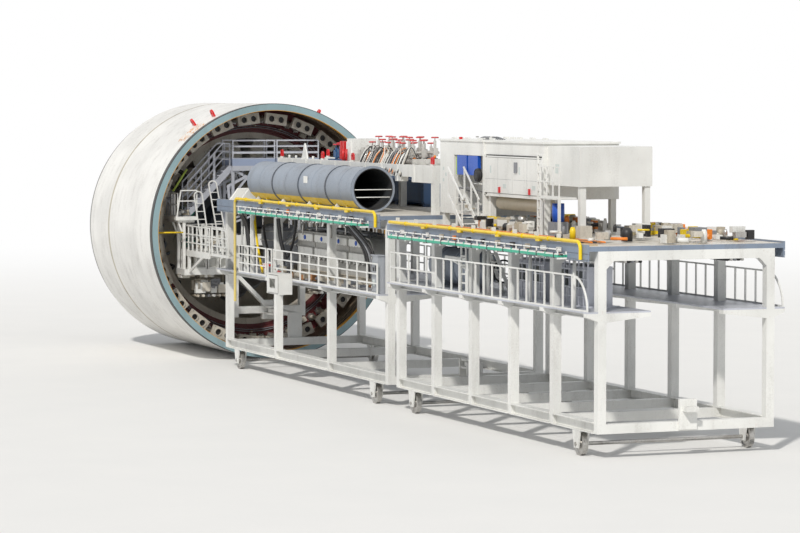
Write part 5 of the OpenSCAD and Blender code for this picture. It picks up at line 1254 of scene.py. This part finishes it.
    def deck(self):
        """Small machines, valves and boards on the rear deck, some of them orange, yellow and white."""
        rng = random.Random(41)
        load = Shape("rear_deck_load", "gantry_2", "grey_paint")
        mixed = ("white_paint", "white_paint", "white_paint", "shoe_paint", "wall_paint", "grey_paint",
                 "black", "bright_steel", "white_paint", "shoe_paint", "orange", "yellow_paint")
        crate(load, rng, (25.9, -2.0, DECK_2), (30.4, -1.5, DECK_2 + 0.5), 60, mixed, 0.08, 0.32)
        crate(load, rng, (25.9, -1.3, DECK_2), (30.4, 1.3, DECK_2 + 0.6), 60, mixed, 0.1, 0.4)
        crate(load, rng, (33.4, -2.9, DECK_2), (38.0, 2.9, DECK_2 + 0.5), 50, mixed, 0.1, 0.45)
        crate(load, rng, (22.0, 1.7, DECK_2), (37.5, 3.1, DECK_2 + 0.4), 80, mixed, 0.1, 0.4)
        load.paint("wood")
        for k in range(12):
            x = 21.9 + 1.35 * k
            end = x + rng.uniform(0.9, 1.3)
            load.box((x, -3.25, DECK_2), (end, rng.uniform(0.2, 0.45) - 3.25, DECK_2 + 0.04))
        load.paint("white_paint")
        for k in range(9):
            x = 22.3 + 1.7 * k
            load.box((x, -3.3, DECK_2), (x + 0.12, -3.2, DECK_2 + 0.3))
        for k in range(6):
            load.paint(["rubber", "rust", "orange"][k % 3])
            y = -2.9 + 0.15 * k
            low, high = DECK_2 + 0.05, DECK_2 + 0.06
            load.hose([(21.9, y, low), (25.0, y + rng.uniform(-0.1, 0.1), high),
                       (30.0, y + rng.uniform(-0.1, 0.1), low), (37.0, y, high)], 0.03, 6, 6)
        load.paint("blue_bright")
        load.turned((32.2, -1.55, DECK_2 + 0.5), UP, [(0, 0.19), (0.2, 0.2), (0.22, 0.21), (0.6, 0.2)], 20)
        load.paint("grey_paint")
        load.box((31.95, -1.8, DECK_2), (32.45, -1.3, DECK_2 + 0.5))
        load.put()

    def below(self):
        low = Shape("rear_lower_load", "gantry_2", "grey_paint")
        low.paint("white_paint")
        low.box((26.2, -3.05, 0.18), (28.0, -2.98, 0.3))
        low.hose([(26.2, -3.0, 0.25), (27.1, -3.0, 0.12), (28.1, -3.0, -0.1)], 0.05, 8, 4)
        low.paint("panel_dark")
        for x in (30.4, 33.7):
            for dx in (0.75, 1.85):
                low.box((x + dx, -2.455, WALK_2 + 0.55), (x + dx + 0.42, -2.42, WALK_2 + 1.1))
        low.paint("white_paint")
        for x in (29.6, 29.95, 33.35, 36.7):
            low.rod((x, -3.05, WALK_2), (x, -3.05, 0.7), 0.06, 10)
        for k in range(5):
            low.paint(["rubber", "bright_steel", "grey_paint"][k % 3])
            for y in (-1.5 - 0.13 * k, 1.5 + 0.13 * k):
                low.rod((22.0, y, UNDER_2), (38.2, y, UNDER_2), 0.045, 8)
        low.paint("black")
        low.sleeve((28.79, -2.0, -0.13), REAR, 0.34, 0.4, 0.02, 32)
        low.put()


# Stage

CAMERA = at(124.116, -43.623, 5.785)
AIM = at(14.4, 0.0, -0.75)


class BORER_OT_stage(bpy.types.Operator):
    """Adds the pale floor, the soft studio lights and the camera"""
    bl_idname = "borer.stage"
    bl_label = "Add the stage"

    def execute(self, context):
        mesh = bpy.data.meshes.new("floor")
        far = 400.0
        corners = [(u, v, 0) for u, v in rectangle(-far, -far, far, far)]
        mesh.from_pydata(corners, [], [(0, 1, 2, 3)])
        floor = bpy.data.objects.new("floor", mesh)
        context.scene.collection.objects.link(floor)
        floor.data.materials.append(self.floor_material())
        self.world(context)
        self.lights(context)
        self.camera(context)
        context.scene.view_settings.view_transform = "Standard"
        return {"FINISHED"}

    def floor_material(self):
        finish = Finish("floor_white", roughness=0.9)
        grain = finish.noise(0.6, 3.0)
        finish.feed("Base Color", finish.mix(grain, (0.80, 0.79, 0.77), (0.76, 0.755, 0.74)))
        flat = finish.stretched(finish.place, (1, 1, 0))
        away = finish.node("ShaderNodeVectorMath", {"operation": "LENGTH"}, {0: flat}, "Value")
        glow = finish.tree.nodes.new("ShaderNodeEmission")
        glow.inputs["Color"].default_value = (1.0, 1.0, 1.0, 1.0)
        glow.inputs["Strength"].default_value = 1.0
        blend = finish.tree.nodes.new("ShaderNodeMixShader")
        finish.tree.links.new(finish.ramp(away, 16.0, 60.0).socket, blend.inputs[0])
        finish.tree.links.new(finish.shader.outputs[0], blend.inputs[1])
        finish.tree.links.new(glow.outputs[0], blend.inputs[2])
        finish.tree.links.new(blend.outputs[0], finish.tree.nodes["Material Output"].inputs["Surface"])
        return finish.material

    def world(self, context):
        """The camera, mirrors and glass see a white sky; the machine is lit by a dimmer, cooler one."""
        world = bpy.data.worlds.new("studio")
        context.scene.world = world
        world.use_nodes = True
        tree = world.node_tree
        light = tree.nodes["Background"]
        light.inputs["Color"].default_value = (0.93, 0.96, 1.0, 1.0)
        light.inputs["Strength"].default_value = 0.55
        seen = tree.nodes.new("ShaderNodeBackground")
        seen.inputs["Color"].default_value = (1.0, 1.0, 1.0, 1.0)
        seen.inputs["Strength"].default_value = 1.0
        rays = tree.nodes.new("ShaderNodeLightPath")
        either = tree.nodes.new("ShaderNodeMath")
        either.operation = "MAXIMUM"
        both = tree.nodes.new("ShaderNodeMath")
        both.operation = "MAXIMUM"
        tree.links.new(rays.outputs["Is Camera Ray"], either.inputs[0])
        tree.links.new(rays.outputs["Is Glossy Ray"], either.inputs[1])
        tree.links.new(either.outputs[0], both.inputs[0])
        tree.links.new(rays.outputs["Is Transmission Ray"], both.inputs[1])
        mix = tree.nodes.new("ShaderNodeMixShader")
        tree.links.new(both.outputs[0], mix.inputs[0])
        tree.links.new(light.outputs[0], mix.inputs[1])
        tree.links.new(seen.outputs[0], mix.inputs[2])
        tree.links.new(mix.outputs[0], tree.nodes["World Output"].inputs["Surface"])

    def lights(self, context):
        sun = bpy.data.lights.new("sun", "SUN")
        sun.energy = 2.6
        sun.angle = math.radians(3)
        sun.color = (1.0, 0.97, 0.92)
        lamp = bpy.data.objects.new("sun", sun)
        lamp.rotation_euler = Vector((-0.62, 0.52, -0.75)).to_track_quat("-Z", "Y").to_euler()
        context.scene.collection.objects.link(lamp)

    def camera(self, context):
        data = bpy.data.cameras.new("camera")
        data.sensor_width = 36.0
        data.lens = sizes().lens
        data.clip_end = 1000.0
        camera = bpy.data.objects.new("camera", data)
        camera.location = CAMERA
        camera.rotation_euler = (AIM - CAMERA).to_track_quat("-Z", "Y").to_euler()
        context.scene.collection.objects.link(camera)
        context.scene.camera = camera


class BORER_PT_panel(bpy.types.Panel):
    """Lists the steps that dress the machine"""
    bl_idname = "BORER_PT_panel"
    bl_label = "Tunnel borer"
    bl_space_type = "VIEW_3D"
    bl_region_type = "UI"
    bl_category = "Borer"

    def draw(self, context):
        for step in STEPS:
            self.layout.operator(step.bl_idname)
        for group in (context.scene.borer_colours, context.scene.borer_sizes):
            for name in group.__annotations__:
                self.layout.prop(group, name)


STEPS = [
    BORER_OT_finishes, BORER_OT_shield, BORER_OT_shoes, BORER_OT_platforms, BORER_OT_head, BORER_OT_duct,
    BORER_OT_valves, BORER_OT_edges, BORER_OT_front_gantry, BORER_OT_rear_gantry, BORER_OT_stage,
]
CLASSES = [BorerColours, BorerSizes, *STEPS, BORER_PT_panel]


def register():
    for cls in CLASSES:
        bpy.utils.register_class(cls)
    bpy.types.Scene.borer_colours = bpy.props.PointerProperty(type=BorerColours)
    bpy.types.Scene.borer_sizes = bpy.props.PointerProperty(type=BorerSizes)


def unregister():
    del bpy.types.Scene.borer_sizes
    del bpy.types.Scene.borer_colours
    for cls in reversed(CLASSES):
        bpy.utils.unregister_class(cls)


def main():
    register()
    for step in STEPS:
        family, name = step.bl_idname.split(".")
        getattr(getattr(bpy.ops, family), name)()


if __name__ == "__main__":
    main()
